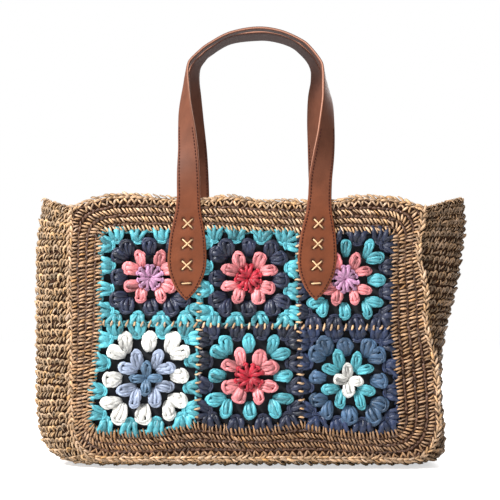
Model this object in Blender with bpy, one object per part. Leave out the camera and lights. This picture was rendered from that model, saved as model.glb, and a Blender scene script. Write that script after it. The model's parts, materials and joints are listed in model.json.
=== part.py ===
# Crocheted tote handbag: six squares in a raffia frame, a raffia gusset and back,
# a thin lining and two leather handles. Metres, +Z up, the front faces -Y.

import math

import bpy
from mathutils import Vector

for thing in list(bpy.data.objects):
    bpy.data.objects.remove(thing, do_unlink=True)

# Sizes of the body
BODY_WIDTH = 0.446
BODY_HEIGHT = 0.276
BODY_DEPTH = 0.112
PANEL_CROWN = 0.004
PANEL_WALL = 0.004
GUSSET_WALL = 0.0035
LINING_WALL = 0.001
LINING_FLOOR = 0.018
LINING_TOP = 0.258
FIT_GAP = 0.0003
LINING_GAP = 0.0008
LINING_SIDE_GAP = 0.006
SQUARE_GAP = 0.0004

# Sizes of the crochet
RIB_RISE = 0.0012
BACK_RISE = 0.0009
RIDGE_RISE = 0.0024
RIDGE_HALF = 0.0032
STITCH_RISE = 0.0013
SQUARE_SAG = 0.0075
RIBS = 4

# Sizes of the handles
STRAP_WIDTH = 0.0236
STRAP_THICKNESS = 0.003
STRAP_BEVEL = 0.0008
LEAF_WIDTH = 0.039
LEAF_LENGTH = 0.106
HANDLE_SPREAD = 0.140
HANDLE_RISE = 0.179
ARCH_SETBACK = 0.014
FRONT_TILT = 0.19
REAR_TILT = 0.09

# Depth of the front face at mid-width.
# Columns: height as a share of BODY_HEIGHT, depth as a share of half of BODY_DEPTH.
FRONT_SECTIONS = (
    (0.0, 0.905),
    (0.2, 0.972),
    (0.4, 0.997),
    (0.6, 0.990),
    (0.8, 0.935),
    (1.0, 0.835),
)

# Outline of the body from the top left corner, round the floor, to the top right corner.
# Columns: seam x, seam z, mid-gusset x, mid-gusset z. x is a share of BODY_WIDTH, z of BODY_HEIGHT.
SEAM = (
    (-0.4081, 0.9522, -0.4843, 0.9964),
    (-0.4092, 0.8623, -0.4966, 0.8768),
    (-0.4103, 0.7428, -0.5000, 0.7428),
    (-0.4070, 0.5072, -0.5000, 0.5072),
    (-0.4058, 0.2717, -0.5000, 0.2717),
    (-0.4025, 0.1522, -0.4933, 0.1304),
    (-0.3879, 0.0833, -0.4731, 0.0616),
    (-0.3475, 0.0420, -0.4260, 0.0145),
    (-0.2691, 0.0380, -0.3363, 0.0000),
    (-0.1121, 0.0390, -0.1345, 0.0000),
    (0.0000, 0.0400, 0.0000, 0.0000),
    (0.1121, 0.0390, 0.1345, 0.0000),
    (0.2691, 0.0370, 0.3139, 0.0000),
    (0.3655, 0.0330, 0.4036, 0.0072),
    (0.4036, 0.0720, 0.4462, 0.0435),
    (0.4238, 0.1522, 0.4507, 0.1304),
    (0.4215, 0.2355, 0.4439, 0.2355),
    (0.4148, 0.3841, 0.4439, 0.3841),
    (0.3991, 0.4891, 0.4496, 0.4710),
    (0.3924, 0.5435, 0.4596, 0.5435),
    (0.3946, 0.6522, 0.4776, 0.6522),
    (0.3778, 0.7862, 0.4899, 0.7681),
    (0.3857, 0.8877, 0.5000, 0.9058),
    (0.3924, 0.9522, 0.4944, 1.0000),
)
LOWER_LEFT = 6
LOWER_RIGHT = 14

# Wavy rim of the front from left to right. Columns: x as a share of BODY_WIDTH, z of BODY_HEIGHT.
RIM = (
    (-0.4081, 0.9522),
    (-0.3529, 0.9851),
    (-0.2848, 0.9996),
    (-0.1946, 0.9888),
    (-0.1085, 0.9815),
    (-0.0475, 0.9924),
    (0.0204, 0.9743),
    (0.0769, 0.9779),
    (0.1110, 0.9743),
    (0.1854, 0.9743),
    (0.2422, 0.9906),
    (0.3258, 0.9851),
    (0.3643, 0.9670),
    (0.3924, 0.9522),
)

# Corners where the squares meet, lowest row first, as shares of BODY_WIDTH and BODY_HEIGHT.
SQUARE_CORNERS = (
    ((-0.3655, 0.1486), (-0.1211, 0.1739), (0.1143, 0.1757), (0.3363, 0.1449)),
    ((-0.3386, 0.5326), (-0.1155, 0.5254), (0.1076, 0.5181), (0.3150, 0.5145)),
    ((-0.3363, 0.8659), (-0.1166, 0.8732), (0.1054, 0.8623), (0.3206, 0.8659)),
)

# Widths of the cells across a square as shares of it, and the cells cut through.
OUTER_CELL = 0.095
GAP_CELL = 0.060
GROUP_CELL = 0.065
INNER_RING = (3, 7, 11)
OUTER_RING = (1, 5, 9, 13)
# Relief of the rings of stitches from the middle out, as shares of STITCH_RISE.
RING_RELIEF = (0.3, 1.0, 0.3, 0.9, 0.2, 0.9, 0.2, 0.5)

# Leaf-shaped end of a strap. Columns: share of LEAF_LENGTH from the tip,
# share of LEAF_WIDTH and share of STRAP_WIDTH that add up to the width there.
LEAF = (
    (0.000, 0.06, 0.00),
    (0.040, 0.28, 0.00),
    (0.100, 0.54, 0.00),
    (0.170, 0.74, 0.00),
    (0.260, 0.92, 0.00),
    (0.360, 1.00, 0.00),
    (0.460, 0.96, 0.04),
    (0.610, 0.77, 0.23),
    (0.750, 0.40, 0.60),
    (0.850, 0.13, 0.87),
    (1.000, 0.00, 1.00),
)
LEAF_LEANS = (0.013, 0.036)

# Centre lines of the handles from the left of the rim to the right.
# Columns: x as a share of HANDLE_SPREAD, height above the rim as a share of HANDLE_RISE,
# share of the way back from the rim to the arch, twist in degrees.
FRONT_PATH = (
    (-0.448, 0.000, 0.000, 0),
    (-0.451, 0.128, 0.020, 12),
    (-0.454, 0.257, 0.100, 30),
    (-0.466, 0.374, 0.220, 43),
    (-0.480, 0.497, 0.390, 58),
    (-0.481, 0.620, 0.580, 74),
    (-0.474, 0.726, 0.780, 86),
    (-0.446, 0.793, 0.910, 90),
    (-0.376, 0.856, 0.980, 90),
    (-0.302, 0.901, 1.000, 90),
    (-0.154, 0.961, 1.000, 90),
    (0.043, 0.989, 1.000, 90),
    (0.214, 0.972, 1.000, 90),
    (0.363, 0.922, 1.000, 90),
    (0.438, 0.873, 0.980, 90),
    (0.513, 0.788, 0.910, 90),
    (0.539, 0.709, 0.780, 86),
    (0.552, 0.620, 0.580, 74),
    (0.559, 0.531, 0.440, 62),
    (0.551, 0.419, 0.270, 50),
    (0.540, 0.318, 0.160, 38),
    (0.521, 0.207, 0.060, 22),
    (0.501, 0.095, 0.010, 8),
    (0.495, 0.000, 0.000, 0),
)
REAR_PATH = (
    (-0.411, 0.000, 0.000, 0),
    (-0.414, 0.128, 0.040, 10),
    (-0.419, 0.285, 0.120, 25),
    (-0.425, 0.402, 0.250, 38),
    (-0.432, 0.525, 0.420, 48),
    (-0.437, 0.642, 0.640, 55),
    (-0.437, 0.726, 0.820, 62),
    (-0.414, 0.810, 0.930, 76),
    (-0.370, 0.863, 0.980, 86),
    (-0.316, 0.899, 1.000, 90),
    (-0.160, 0.970, 1.000, 90),
    (0.050, 0.992, 1.000, 90),
    (0.179, 0.985, 1.000, 90),
    (0.306, 0.954, 1.000, 90),
    (0.389, 0.907, 1.000, 88),
    (0.452, 0.846, 0.980, 83),
    (0.490, 0.788, 0.930, 74),
    (0.503, 0.726, 0.820, 62),
    (0.501, 0.642, 0.640, 55),
    (0.504, 0.520, 0.420, 46),
    (0.520, 0.374, 0.220, 32),
    (0.534, 0.218, 0.080, 16),
    (0.541, 0.106, 0.010, 4),
    (0.543, 0.000, 0.000, 0),
)

# How finely the curves are cut
SQUARE_STATIONS = 8
SIDE_STATIONS = 6
GUSSET_STATIONS = 36
GUSSET_SPANS = 8
BACK_STATIONS = 36
LINING_SPANS = 6
ARCH_STATIONS = 32


def curve(rows, at):
    """Row of a table at a place between its rows, on a smooth curve through them."""
    last = len(rows) - 1
    at = min(max(at, 0.0), float(last))
    low = min(int(at), last - 1)
    share = at - low
    before = rows[max(low - 1, 0)]
    after = rows[min(low + 2, last)]
    found = []
    for first, start, stop, final in zip(before, rows[low], rows[low + 1], after):
        leave = 0.5 * (stop - first)
        arrive = 0.5 * (final - start)
        square = share * share
        cube = square * share
        value = (2 * cube - 3 * square + 1) * start + (cube - 2 * square + share) * leave
        value += (3 * square - 2 * cube) * stop + (cube - square) * arrive
        found.append(value)
    return found


def even_places(rows, start, stop, count):
    """Places along a table, count spans from start to stop, equally far apart on its curve."""
    fine = 240
    places = [start + (stop - start) * step / fine for step in range(fine + 1)]
    points = [curve(rows, place) for place in places]
    lengths = [0.0]
    for before, after in zip(points, points[1:]):
        across = (after[0] - before[0]) * BODY_WIDTH
        up = (after[1] - before[1]) * BODY_HEIGHT
        lengths.append(lengths[-1] + math.hypot(across, up))
    found = []
    step = 0
    for number in range(count + 1):
        wanted = lengths[-1] * number / count
        while step < fine - 1 and lengths[step + 1] < wanted:
            step += 1
        share = (wanted - lengths[step]) / (lengths[step + 1] - lengths[step])
        found.append(places[step] + (places[step + 1] - places[step]) * share)
    return found


def value_at(rows, at):
    """Second column of a table read at a value of its first, on a smooth curve."""
    row = 0
    while row < len(rows) - 2 and rows[row + 1][0] < at:
        row += 1
    share = (at - rows[row][0]) / (rows[row + 1][0] - rows[row][0])
    return curve(rows, row + min(max(share, 0.0), 1.0))[1]


def front_y(x, z):
    """Depth of the front face of the panel, before any relief."""
    depth = value_at(FRONT_SECTIONS, z / BODY_HEIGHT) * BODY_DEPTH / 2
    away = 2 * x / (BODY_WIDTH * 0.83)
    return -(depth - PANEL_CROWN * min(away * away, 1.2))


def seam_point(place):
    """Seam and mid-gusset points of the body's outline, in metres."""
    row = curve(SEAM, place)
    seam = (row[0] * BODY_WIDTH, row[1] * BODY_HEIGHT)
    middle = (row[2] * BODY_WIDTH, max(row[3], 0.0) * BODY_HEIGHT)
    return seam, middle


def paint(name, colour, roughness):
    """Principled material of one sub-part."""
    material = bpy.data.materials.new(name)
    material.use_nodes = True
    shader = material.node_tree.nodes["Principled BSDF"]
    shader.inputs["Base Color"].default_value = (*colour, 1.0)
    shader.inputs["Roughness"].default_value = roughness
    shader.inputs["Metallic"].default_value = 0.0
    material.diffuse_color = (*colour, 1.0)
    return material


def add_object(name, points, faces, material):
    """Mesh object from points and faces."""
    mesh = bpy.data.meshes.new(name)
    mesh.from_pydata([tuple(point) for point in points], [], faces)
    mesh.validate()
    mesh.update()
    mesh.materials.append(material)
    thing = bpy.data.objects.new(name, mesh)
    bpy.context.scene.collection.objects.link(thing)
    return thing


def loft(name, loops, material, closed=False, turned=False):
    """Closed body through cross-sections with the same number of points."""
    count = len(loops[0])
    points = [point for loop in loops for point in loop]
    faces = []
    spans = len(loops) if closed else len(loops) - 1
    for station in range(spans):
        here = station * count
        there = (station + 1) % len(loops) * count
        for side in range(count):
            after = (side + 1) % count
            faces.append((here + side, here + after, there + after, there + side))
    if not closed:
        end = (len(loops) - 1) * count
        for side in range(count // 2 - 1):
            faces.append((side, count - 1 - side, count - 2 - side, side + 1))
            faces.append((end + side, end + side + 1, end + count - 2 - side, end + count - 1 - side))
    if turned:
        faces = [tuple(reversed(face)) for face in faces]
    return add_object(name, points, faces, material)


def plate(name, front, back, holes, material):
    """Closed plate between two grids of points, with cells cut through."""
    rows = len(front)
    columns = len(front[0])
    points = [point for row in front for point in row] + [point for row in back for point in row]
    behind = rows * columns
    cells = {
        (row, column)
        for row in range(rows - 1)
        for column in range(columns - 1)
        if (row, column) not in holes
    }
    faces = []
    for row, column in sorted(cells):
        low_left = row * columns + column
        low_right = low_left + 1
        high_left = low_left + columns
        high_right = high_left + 1
        faces.append((low_left, low_right, high_right, high_left))
        faces.append((behind + low_left, behind + high_left, behind + high_right, behind + low_right))
        edges = (
            ((row - 1, column), low_right, low_left),
            ((row, column + 1), high_right, low_right),
            ((row + 1, column), high_left, high_right),
            ((row, column - 1), low_left, high_left),
        )
        for neighbour, start, stop in edges:
            if neighbour not in cells:
                faces.append((start, stop, behind + stop, behind + start))
    return add_object(name, points, faces, material)


# Colours of the sub-parts
RAFFIA = paint("raffia", (0.456, 0.262, 0.150), 0.8)
BACK_RAFFIA = paint("back_raffia", (0.440, 0.250, 0.142), 0.8)
GUSSET_RAFFIA = paint("gusset_raffia", (0.400, 0.226, 0.126), 0.8)
LINING_CLOTH = paint("lining_cloth", (0.012, 0.013, 0.017), 0.9)
LEATHER = paint("tan_leather", (0.335, 0.105, 0.046), 0.5)
REAR_LEATHER = paint("rear_tan_leather", (0.300, 0.095, 0.043), 0.5)
YARNS = {
    "top_left": paint("yarn_top_left", (0.060, 0.420, 0.510), 0.7),
    "top_middle": paint("yarn_top_middle", (0.100, 0.500, 0.590), 0.7),
    "top_right": paint("yarn_top_right", (0.017, 0.027, 0.065), 0.7),
    "bottom_left": paint("yarn_bottom_left", (0.080, 0.460, 0.550), 0.7),
    "bottom_middle": paint("yarn_bottom_middle", (0.019, 0.030, 0.070), 0.7),
    "bottom_right": paint("yarn_bottom_right", (0.021, 0.033, 0.075), 0.7),
}


# Squares
def grid_lines():
    """Places of the grid lines across a square, from 0 to 1."""
    widths = [OUTER_CELL] + [GAP_CELL, GROUP_CELL] * 6 + [GAP_CELL, OUTER_CELL]
    lines = [0.0]
    for width in widths:
        lines.append(lines[-1] + width)
    return lines


def square_xz(row, column, across, up):
    """Place on the panel of a point of a square, with shares across and up."""
    low_left = SQUARE_CORNERS[row][column]
    low_right = SQUARE_CORNERS[row][column + 1]
    high_left = SQUARE_CORNERS[row + 1][column]
    high_right = SQUARE_CORNERS[row + 1][column + 1]
    found = []
    for axis, size in ((0, BODY_WIDTH), (1, BODY_HEIGHT)):
        low = low_left[axis] + (low_right[axis] - low_left[axis]) * across
        high = high_left[axis] + (high_right[axis] - high_left[axis]) * across
        found.append((low + (high - low) * up) * size)
    if row == 0:
        found[1] -= SQUARE_SAG * 4 * across * (1 - across) * (1 - up)
    return found


def make_square(name, row, column, material):
    """One crochet square: a pierced plate with the relief of its rounds."""
    lines = grid_lines()
    last = len(lines) - 1
    width = (SQUARE_CORNERS[row][column + 1][0] - SQUARE_CORNERS[row][column][0]) * BODY_WIDTH
    inset = SQUARE_GAP / width
    front = []
    back = []
    for up_line, up in enumerate(lines):
        front_row = []
        back_row = []
        for across_line, across in enumerate(lines):
            ring = int(max(abs(up_line - last / 2), abs(across_line - last / 2)))
            kept_across = inset + (1 - 2 * inset) * across
            kept_up = inset + (1 - 2 * inset) * up
            x, z = square_xz(row, column, kept_across, kept_up)
            y = front_y(x, z)
            front_row.append((x, y - RING_RELIEF[ring] * STITCH_RISE, z))
            back_row.append((x, y + PANEL_WALL, z))
        front.append(front_row)
        back.append(back_row)
    holes = {(low, high) for low in INNER_RING for high in INNER_RING} - {(7, 7)}
    for near in OUTER_RING:
        for far in (OUTER_RING[0], OUTER_RING[-1]):
            holes |= {(near, far), (far, near)}
    return plate("square_" + name, front, back, holes, material)


for row_number, row_name in enumerate(("bottom", "top")):
    for column_number, column_name in enumerate(("left", "middle", "right")):
        square_name = row_name + "_" + column_name
        make_square(square_name, row_number, column_number, YARNS[square_name])


# Front border
def border_inner():
    """Inner edge of the border, anticlockwise from the top left as seen from the front."""
    edge = -SQUARE_GAP / 2 / (BODY_WIDTH * 0.22)
    found = []
    for row in (1, 0):
        for step in range(SIDE_STATIONS):
            found.append(square_xz(row, 0, edge, 1 - step / SIDE_STATIONS))
    for column in range(3):
        for step in range(SQUARE_STATIONS):
            found.append(square_xz(0, column, step / SQUARE_STATIONS, edge))
    for row in (0, 1):
        for step in range(SIDE_STATIONS):
            found.append(square_xz(row, 2, 1 - edge, step / SIDE_STATIONS))
    for column in (2, 1, 0):
        for step in range(SQUARE_STATIONS):
            found.append(square_xz(1, column, 1 - step / SQUARE_STATIONS, 1 - edge))
    return found


def body_outline(side_count, floor_count, rim_count):
    """Outline of the panel in the same order as border_inner, with its outward directions."""
    points = []
    spans = (
        (0, LOWER_LEFT, side_count),
        (LOWER_LEFT, LOWER_RIGHT, floor_count),
        (LOWER_RIGHT, len(SEAM) - 1, side_count),
    )
    for start, stop, count in spans:
        for place in even_places(SEAM, start, stop, count)[:-1]:
            points.append(seam_point(place)[0])
    for place in reversed(even_places(RIM, 0, len(RIM) - 1, rim_count)[1:]):
        row = curve(RIM, place)
        points.append((row[0] * BODY_WIDTH, row[1] * BODY_HEIGHT))
    outward = []
    for number in range(len(points)):
        before = points[number - 1]
        after = points[(number + 1) % len(points)]
        along = Vector((after[0] - before[0], after[1] - before[1])).normalized()
        outward.append((along.y, -along.x))
    return points, outward


def make_border():
    """Ribbed ring round the squares, with a raised ridge on its seam."""
    inner = border_inner()
    outer, outward = body_outline(2 * SIDE_STATIONS, 3 * SQUARE_STATIONS, 3 * SQUARE_STATIONS)
    rim_start = 4 * SIDE_STATIONS + 3 * SQUARE_STATIONS
    loops = []
    for number, (start, stop, away) in enumerate(zip(inner, outer, outward)):
        on_rim = number >= rim_start or number == 0
        loop = []
        for step in range(2 * RIBS):
            share = step / (2 * RIBS)
            x = start[0] + (stop[0] - start[0]) * share
            z = start[1] + (stop[1] - start[1]) * share
            rise = RIB_RISE if step % 2 else 0.0
            loop.append((x, front_y(x, z) - rise, z))
        seam_y = front_y(stop[0], stop[1])
        ridge = RIB_RISE if on_rim else RIDGE_RISE
        edge_x = stop[0] + away[0] * RIDGE_HALF
        edge_z = stop[1] + away[1] * RIDGE_HALF
        middle_x = (start[0] + stop[0]) / 2
        middle_z = (start[1] + stop[1]) / 2
        loop.append((stop[0], seam_y - ridge, stop[1]))
        loop.append((edge_x, seam_y + PANEL_WALL * 0.2, edge_z))
        loop.append((edge_x, seam_y + PANEL_WALL, edge_z))
        loop.append((middle_x, front_y(middle_x, middle_z) + PANEL_WALL, middle_z))
        loop.append((start[0], front_y(start[0], start[1]) + PANEL_WALL, start[1]))
        loops.append(loop)
    return loft("front_border", loops, RAFFIA, closed=True)


make_border()


# Gusset
def gusset_share(turn):
    """How far the gusset has left the seam for its widest line, at a half turn from 0 to pi."""
    return min(1.0, 1.12 * math.sin(turn) ** 0.9)


def gusset_outer(place, turn):
    """Point of the gusset's outer face."""
    seam, middle = seam_point(place)
    reach = -front_y(*seam) - PANEL_WALL - FIT_GAP
    share = gusset_share(turn)
    x = seam[0] + (middle[0] - seam[0]) * share
    z = seam[1] + (middle[1] - seam[1]) * share
    return Vector((x, -reach * math.cos(turn), z))


def make_gusset():
    """Strip down one side, along the floor and up the other side, bulging outwards."""
    last = len(SEAM) - 1
    centre = Vector((0.0, 0.0, BODY_HEIGHT / 2))
    loops = []
    for place in even_places(SEAM, 0, last, GUSSET_STATIONS):
        outer = []
        inner = []
        for span in range(GUSSET_SPANS + 1):
            turn = math.pi * span / GUSSET_SPANS
            here = gusset_outer(place, turn)
            outer.append(here)
            if span in (0, GUSSET_SPANS):
                ahead = seam_point(min(place + 0.05, last))[0]
                behind = seam_point(max(place - 0.05, 0))[0]
                along = Vector((ahead[0] - behind[0], 0.0, ahead[1] - behind[1])).normalized()
                inner.append(here + Vector((-along.z, 0.0, along.x)) * GUSSET_WALL)
                continue
            along = gusset_outer(min(place + 0.05, last), turn) - gusset_outer(max(place - 0.05, 0), turn)
            around = gusset_outer(place, turn + 0.02) - gusset_outer(place, turn - 0.02)
            normal = along.cross(around).normalized()
            if normal.dot(centre - here) < 0:
                normal.negate()
            inner.append(here + normal * GUSSET_WALL)
        loops.append(outer + inner[::-1])
    return loft("gusset", loops, GUSSET_RAFFIA)


make_gusset()


# Back panel
def make_back():
    """Plain crowned plate that mirrors the front's outline."""
    outline, outward = body_outline(BACK_STATIONS // 6, BACK_STATIONS // 3, BACK_STATIONS // 3)
    count = len(outline)
    shares = (1.0, 0.75, 0.5, 0.25)
    centre = (0.0, BODY_HEIGHT * 0.5)
    points = []
    for depth in (-BACK_RISE, PANEL_WALL):
        for share in shares:
            for point, away in zip(outline, outward):
                x = point[0] + away[0] * RIDGE_HALF
                z = point[1] + away[1] * RIDGE_HALF
                x = centre[0] + (x - centre[0]) * share
                z = centre[1] + (z - centre[1]) * share
                edge_x = centre[0] + (point[0] - centre[0]) * share
                points.append((x, -front_y(edge_x, z) - depth, z))
        points.append((centre[0], -front_y(*centre) - depth, centre[1]))
    layer = len(shares) * count + 1
    faces = []
    for number in range(count):
        after = (number + 1) % count
        for ring in range(len(shares) - 1):
            low = ring * count
            high = low + count
            faces.append((low + number, high + number, high + after, low + after))
            faces.append((layer + low + number, layer + low + after, layer + high + after, layer + high + number))
        low = (len(shares) - 1) * count
        faces.append((low + number, layer - 1, low + after))
        faces.append((layer + low + number, layer + low + after, 2 * layer - 1))
        faces.append((number, after, layer + after, layer + number))
    return add_object("back_panel", points, faces, BACK_RAFFIA)


make_back()


# Lining
def edge_at(z, right):
    """Seam x and mid-gusset x of one side at a height."""
    if right:
        places = [LOWER_RIGHT - 1 + step * 0.05 for step in range(201)]
    else:
        places = [LOWER_LEFT + 1 - step * 0.05 for step in range(161)]
    found = []
    for which in (0, 1):
        best = min(places, key=lambda place: abs(seam_point(place)[which][1] - z))
        found.append(seam_point(best)[which][0])
    return found


def lining_loop(z, inset):
    """Level loop of the lining, front from left to right and back from right to left."""
    left_seam, left_middle = edge_at(z, False)
    right_seam, right_middle = edge_at(z, True)
    half = []
    start = left_seam + GUSSET_WALL + LINING_SIDE_GAP + inset
    stop = right_seam - GUSSET_WALL - LINING_SIDE_GAP - inset
    bulge = min(max((z - LINING_FLOOR) / (BODY_HEIGHT * 0.2), 0.0), 1.0)
    for span in range(LINING_SPANS + 1):
        x = start + (stop - start) * span / LINING_SPANS
        half.append((x, front_y(x, z) + PANEL_WALL + LINING_GAP + inset, z))
    front = half
    reach = -front[-1][1]
    right = []
    left = []
    for turn, share in ((45, 0.45), (70, 0.72), (110, 0.72), (135, 0.45)):
        y = -reach * math.cos(math.radians(turn))
        right.append((stop + (right_middle - right_seam) * share * bulge, y, z))
    reach_left = -front[0][1]
    for turn, share in ((135, 0.45), (110, 0.72), (70, 0.72), (45, 0.45)):
        y = -reach_left * math.cos(math.radians(turn))
        left.append((start + (left_middle - left_seam) * share * bulge, y, z))
    back = [(x, -y, z) for x, y, z in reversed(front)]
    return front + right + back + left


def make_lining():
    """Thin open-topped bag inside the walls."""
    shares = (0.0, 0.07, 0.2, 0.45, 0.75, 1.0)
    heights = [LINING_FLOOR + (LINING_TOP - LINING_FLOOR) * share for share in shares]
    outer = [lining_loop(z, 0.0) for z in heights]
    inner = [lining_loop(max(z, LINING_FLOOR + LINING_WALL), LINING_WALL) for z in heights]
    loops = outer + inner[::-1]
    count = len(outer[0])
    points = [point for loop in loops for point in loop]
    faces = []
    for station in range(len(loops) - 1):
        here = station * count
        there = here + count
        for side in range(count):
            after = (side + 1) % count
            faces.append((here + side, here + after, there + after, there + side))
    last = (len(loops) - 1) * count
    spans = LINING_SPANS
    for base, turned in ((0, False), (last, True)):
        floor = []
        for span in range(spans):
            far = 2 * spans + 5 - span
            floor.append((span, far, far - 1, span + 1))
        right_near = spans
        left_near = 2 * spans + 6
        floor.append((right_near, right_near + 5, right_near + 4, right_near + 1))
        floor.append((right_near + 1, right_near + 4, right_near + 3, right_near + 2))
        floor.append((left_near - 1, 0, left_near + 3, left_near))
        floor.append((left_near, left_near + 3, left_near + 2, left_near + 1))
        for face in floor:
            moved = tuple(base + corner for corner in face)
            faces.append(tuple(reversed(moved)) if turned else moved)
    return add_object("lining", points, faces, LINING_CLOTH)


make_lining()


# Handles
def rest_y(x, z):
    """Depth of the centre of a strap that lies on the front face."""
    return front_y(x, min(z, BODY_HEIGHT)) - STITCH_RISE - FIT_GAP - STRAP_THICKNESS / 2


def leaf_stations(rim_x, lean):
    """Stations from the tip of a leaf up to the rim: centre, twist and width."""
    found = []
    rim_z = BODY_HEIGHT
    steps = (0.0, 0.02, 0.05, 0.10, 0.17, 0.26, 0.36, 0.46, 0.54, 0.62, 0.70, 0.80, 0.90)
    for step in steps:
        row = 0
        while row < len(LEAF) - 2 and LEAF[row + 1][0] < step:
            row += 1
        share = (step - LEAF[row][0]) / (LEAF[row + 1][0] - LEAF[row][0])
        shape = curve(LEAF, row + share)
        width = shape[1] * LEAF_WIDTH + shape[2] * STRAP_WIDTH
        z = rim_z - LEAF_LENGTH * (1 - step)
        x = rim_x - lean * HANDLE_SPREAD * (1 - step)
        found.append((Vector((x, rest_y(x, z), z)), 0.0, width))
    return found


def make_handle(name, path, side, tilt, leans, material):
    """Flat strap from leaf tip to leaf tip; side -1 lies on the front, 1 on the back."""
    left_x = path[0][0] * HANDLE_SPREAD
    right_x = path[-1][0] * HANDLE_SPREAD
    stations = leaf_stations(left_x, leans[0])
    for number in range(ARCH_STATIONS + 1):
        row = curve(path, (len(path) - 1) * number / ARCH_STATIONS)
        x = row[0] * HANDLE_SPREAD
        z = BODY_HEIGHT + row[1] * HANDLE_RISE
        start = rest_y(x, BODY_HEIGHT)
        y = start + (-ARCH_SETBACK - start) * row[2]
        stations.append((Vector((x, y, z)), math.radians(row[3]), STRAP_WIDTH))
    stations += leaf_stations(right_x, leans[1])[::-1]
    loops = []
    for number, (centre, twist, width) in enumerate(stations):
        before = stations[max(number - 1, 0)][0]
        after = stations[min(number + 1, len(stations) - 1)][0]
        along = (after - before).normalized()
        inward = 1.0 if number < len(stations) / 2 else -1.0
        sine = math.sin(twist)
        across = Vector((inward * math.cos(twist), -sine, -tilt * sine * sine))
        across = (across - along * across.dot(along)).normalized()
        face = across.cross(along).normalized()
        half = width / 2
        flat = max(half - STRAP_BEVEL, half * 0.6)
        thick = STRAP_THICKNESS / 2
        section = ((flat, thick), (half, 0.0), (flat, -thick), (-flat, -thick), (-half, 0.0), (-flat, thick))
        if inward < 0:
            section = tuple((-far, high) for far, high in section)
            section = (section[5], section[4], section[3], section[2], section[1], section[0])
        loop = []
        for far, high in section:
            point = centre + across * far + face * high
            loop.append((point.x, point.y * -side, point.z))
        loops.append(loop)
    return loft_strap(name, loops, material, side)


def loft_strap(name, loops, material, side):
    """Body of a strap, wound so that its faces point out on either side of the bag."""
    count = len(loops[0])
    points = [point for loop in loops for point in loop]
    faces = []
    for station in range(len(loops) - 1):
        here = station * count
        there = here + count
        for corner in range(count):
            after = (corner + 1) % count
            faces.append((here + corner, here + after, there + after, there + corner))
    faces.append(tuple(range(count))[::-1])
    faces.append(tuple((len(loops) - 1) * count + corner for corner in range(count)))
    if side > 0:
        faces = [tuple(reversed(face)) for face in faces]
    return add_object(name, points, faces, material)


REAR_LEANS = (-0.01, 0.01)
make_handle("front_handle", FRONT_PATH, -1, FRONT_TILT, LEAF_LEANS, LEATHER)
make_handle("rear_handle", REAR_PATH, 1, REAR_TILT, REAR_LEANS, REAR_LEATHER)
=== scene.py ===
# %% [markdown]
# # Crochet tote handbag
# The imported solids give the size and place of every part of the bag.
# This lesson dresses them with strands of raffia and yarn, leather and thread, one step to a cell.
# Lengths are in metres, +Z is up and the front of the bag faces -Y.

# %% Load the frame
import json
import math

import bpy
import numpy as np
from mathutils import Matrix, Vector

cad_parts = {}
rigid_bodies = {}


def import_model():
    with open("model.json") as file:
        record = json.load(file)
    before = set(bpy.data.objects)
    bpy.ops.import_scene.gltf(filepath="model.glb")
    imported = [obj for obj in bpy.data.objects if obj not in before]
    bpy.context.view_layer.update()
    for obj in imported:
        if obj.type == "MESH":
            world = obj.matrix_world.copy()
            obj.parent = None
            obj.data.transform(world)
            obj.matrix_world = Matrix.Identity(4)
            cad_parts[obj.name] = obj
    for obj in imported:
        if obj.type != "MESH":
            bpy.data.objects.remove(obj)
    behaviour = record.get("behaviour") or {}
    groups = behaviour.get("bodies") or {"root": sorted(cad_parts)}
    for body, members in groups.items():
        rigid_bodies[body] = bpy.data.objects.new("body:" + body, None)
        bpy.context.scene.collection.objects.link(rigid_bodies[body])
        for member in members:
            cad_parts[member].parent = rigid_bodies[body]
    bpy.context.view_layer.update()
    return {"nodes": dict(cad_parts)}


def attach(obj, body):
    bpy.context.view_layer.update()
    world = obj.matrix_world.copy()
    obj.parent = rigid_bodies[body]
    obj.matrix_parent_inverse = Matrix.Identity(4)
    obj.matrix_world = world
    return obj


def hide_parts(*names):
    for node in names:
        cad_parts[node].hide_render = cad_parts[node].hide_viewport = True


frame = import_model()
NODES = sorted(frame["nodes"])
print("solids:", NODES)

# %% [markdown]
# ## The shape of the bag
# Small tables hold the outline of the front, its wavy rim, the corners of the squares and the depth
# of the front face, all as shares of the body's size. A smooth curve runs through the rows.

# %% Sizes and tables
MM = 0.001
BODY_WIDTH = 0.446
BODY_HEIGHT = 0.276
BODY_DEPTH = 0.112
PANEL_CROWN = 0.004
PANEL_WALL = 0.004
GUSSET_WALL = 0.0035
SQUARE_SAG = 0.0075
FIT_GAP = 0.0003
REST_RISE = 0.0013

# Columns: height, share of half the depth.
FRONT_SECTIONS = ((0.0, 0.905), (0.2, 0.972), (0.4, 0.997), (0.6, 0.990), (0.8, 0.935), (1.0, 0.835))

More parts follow.
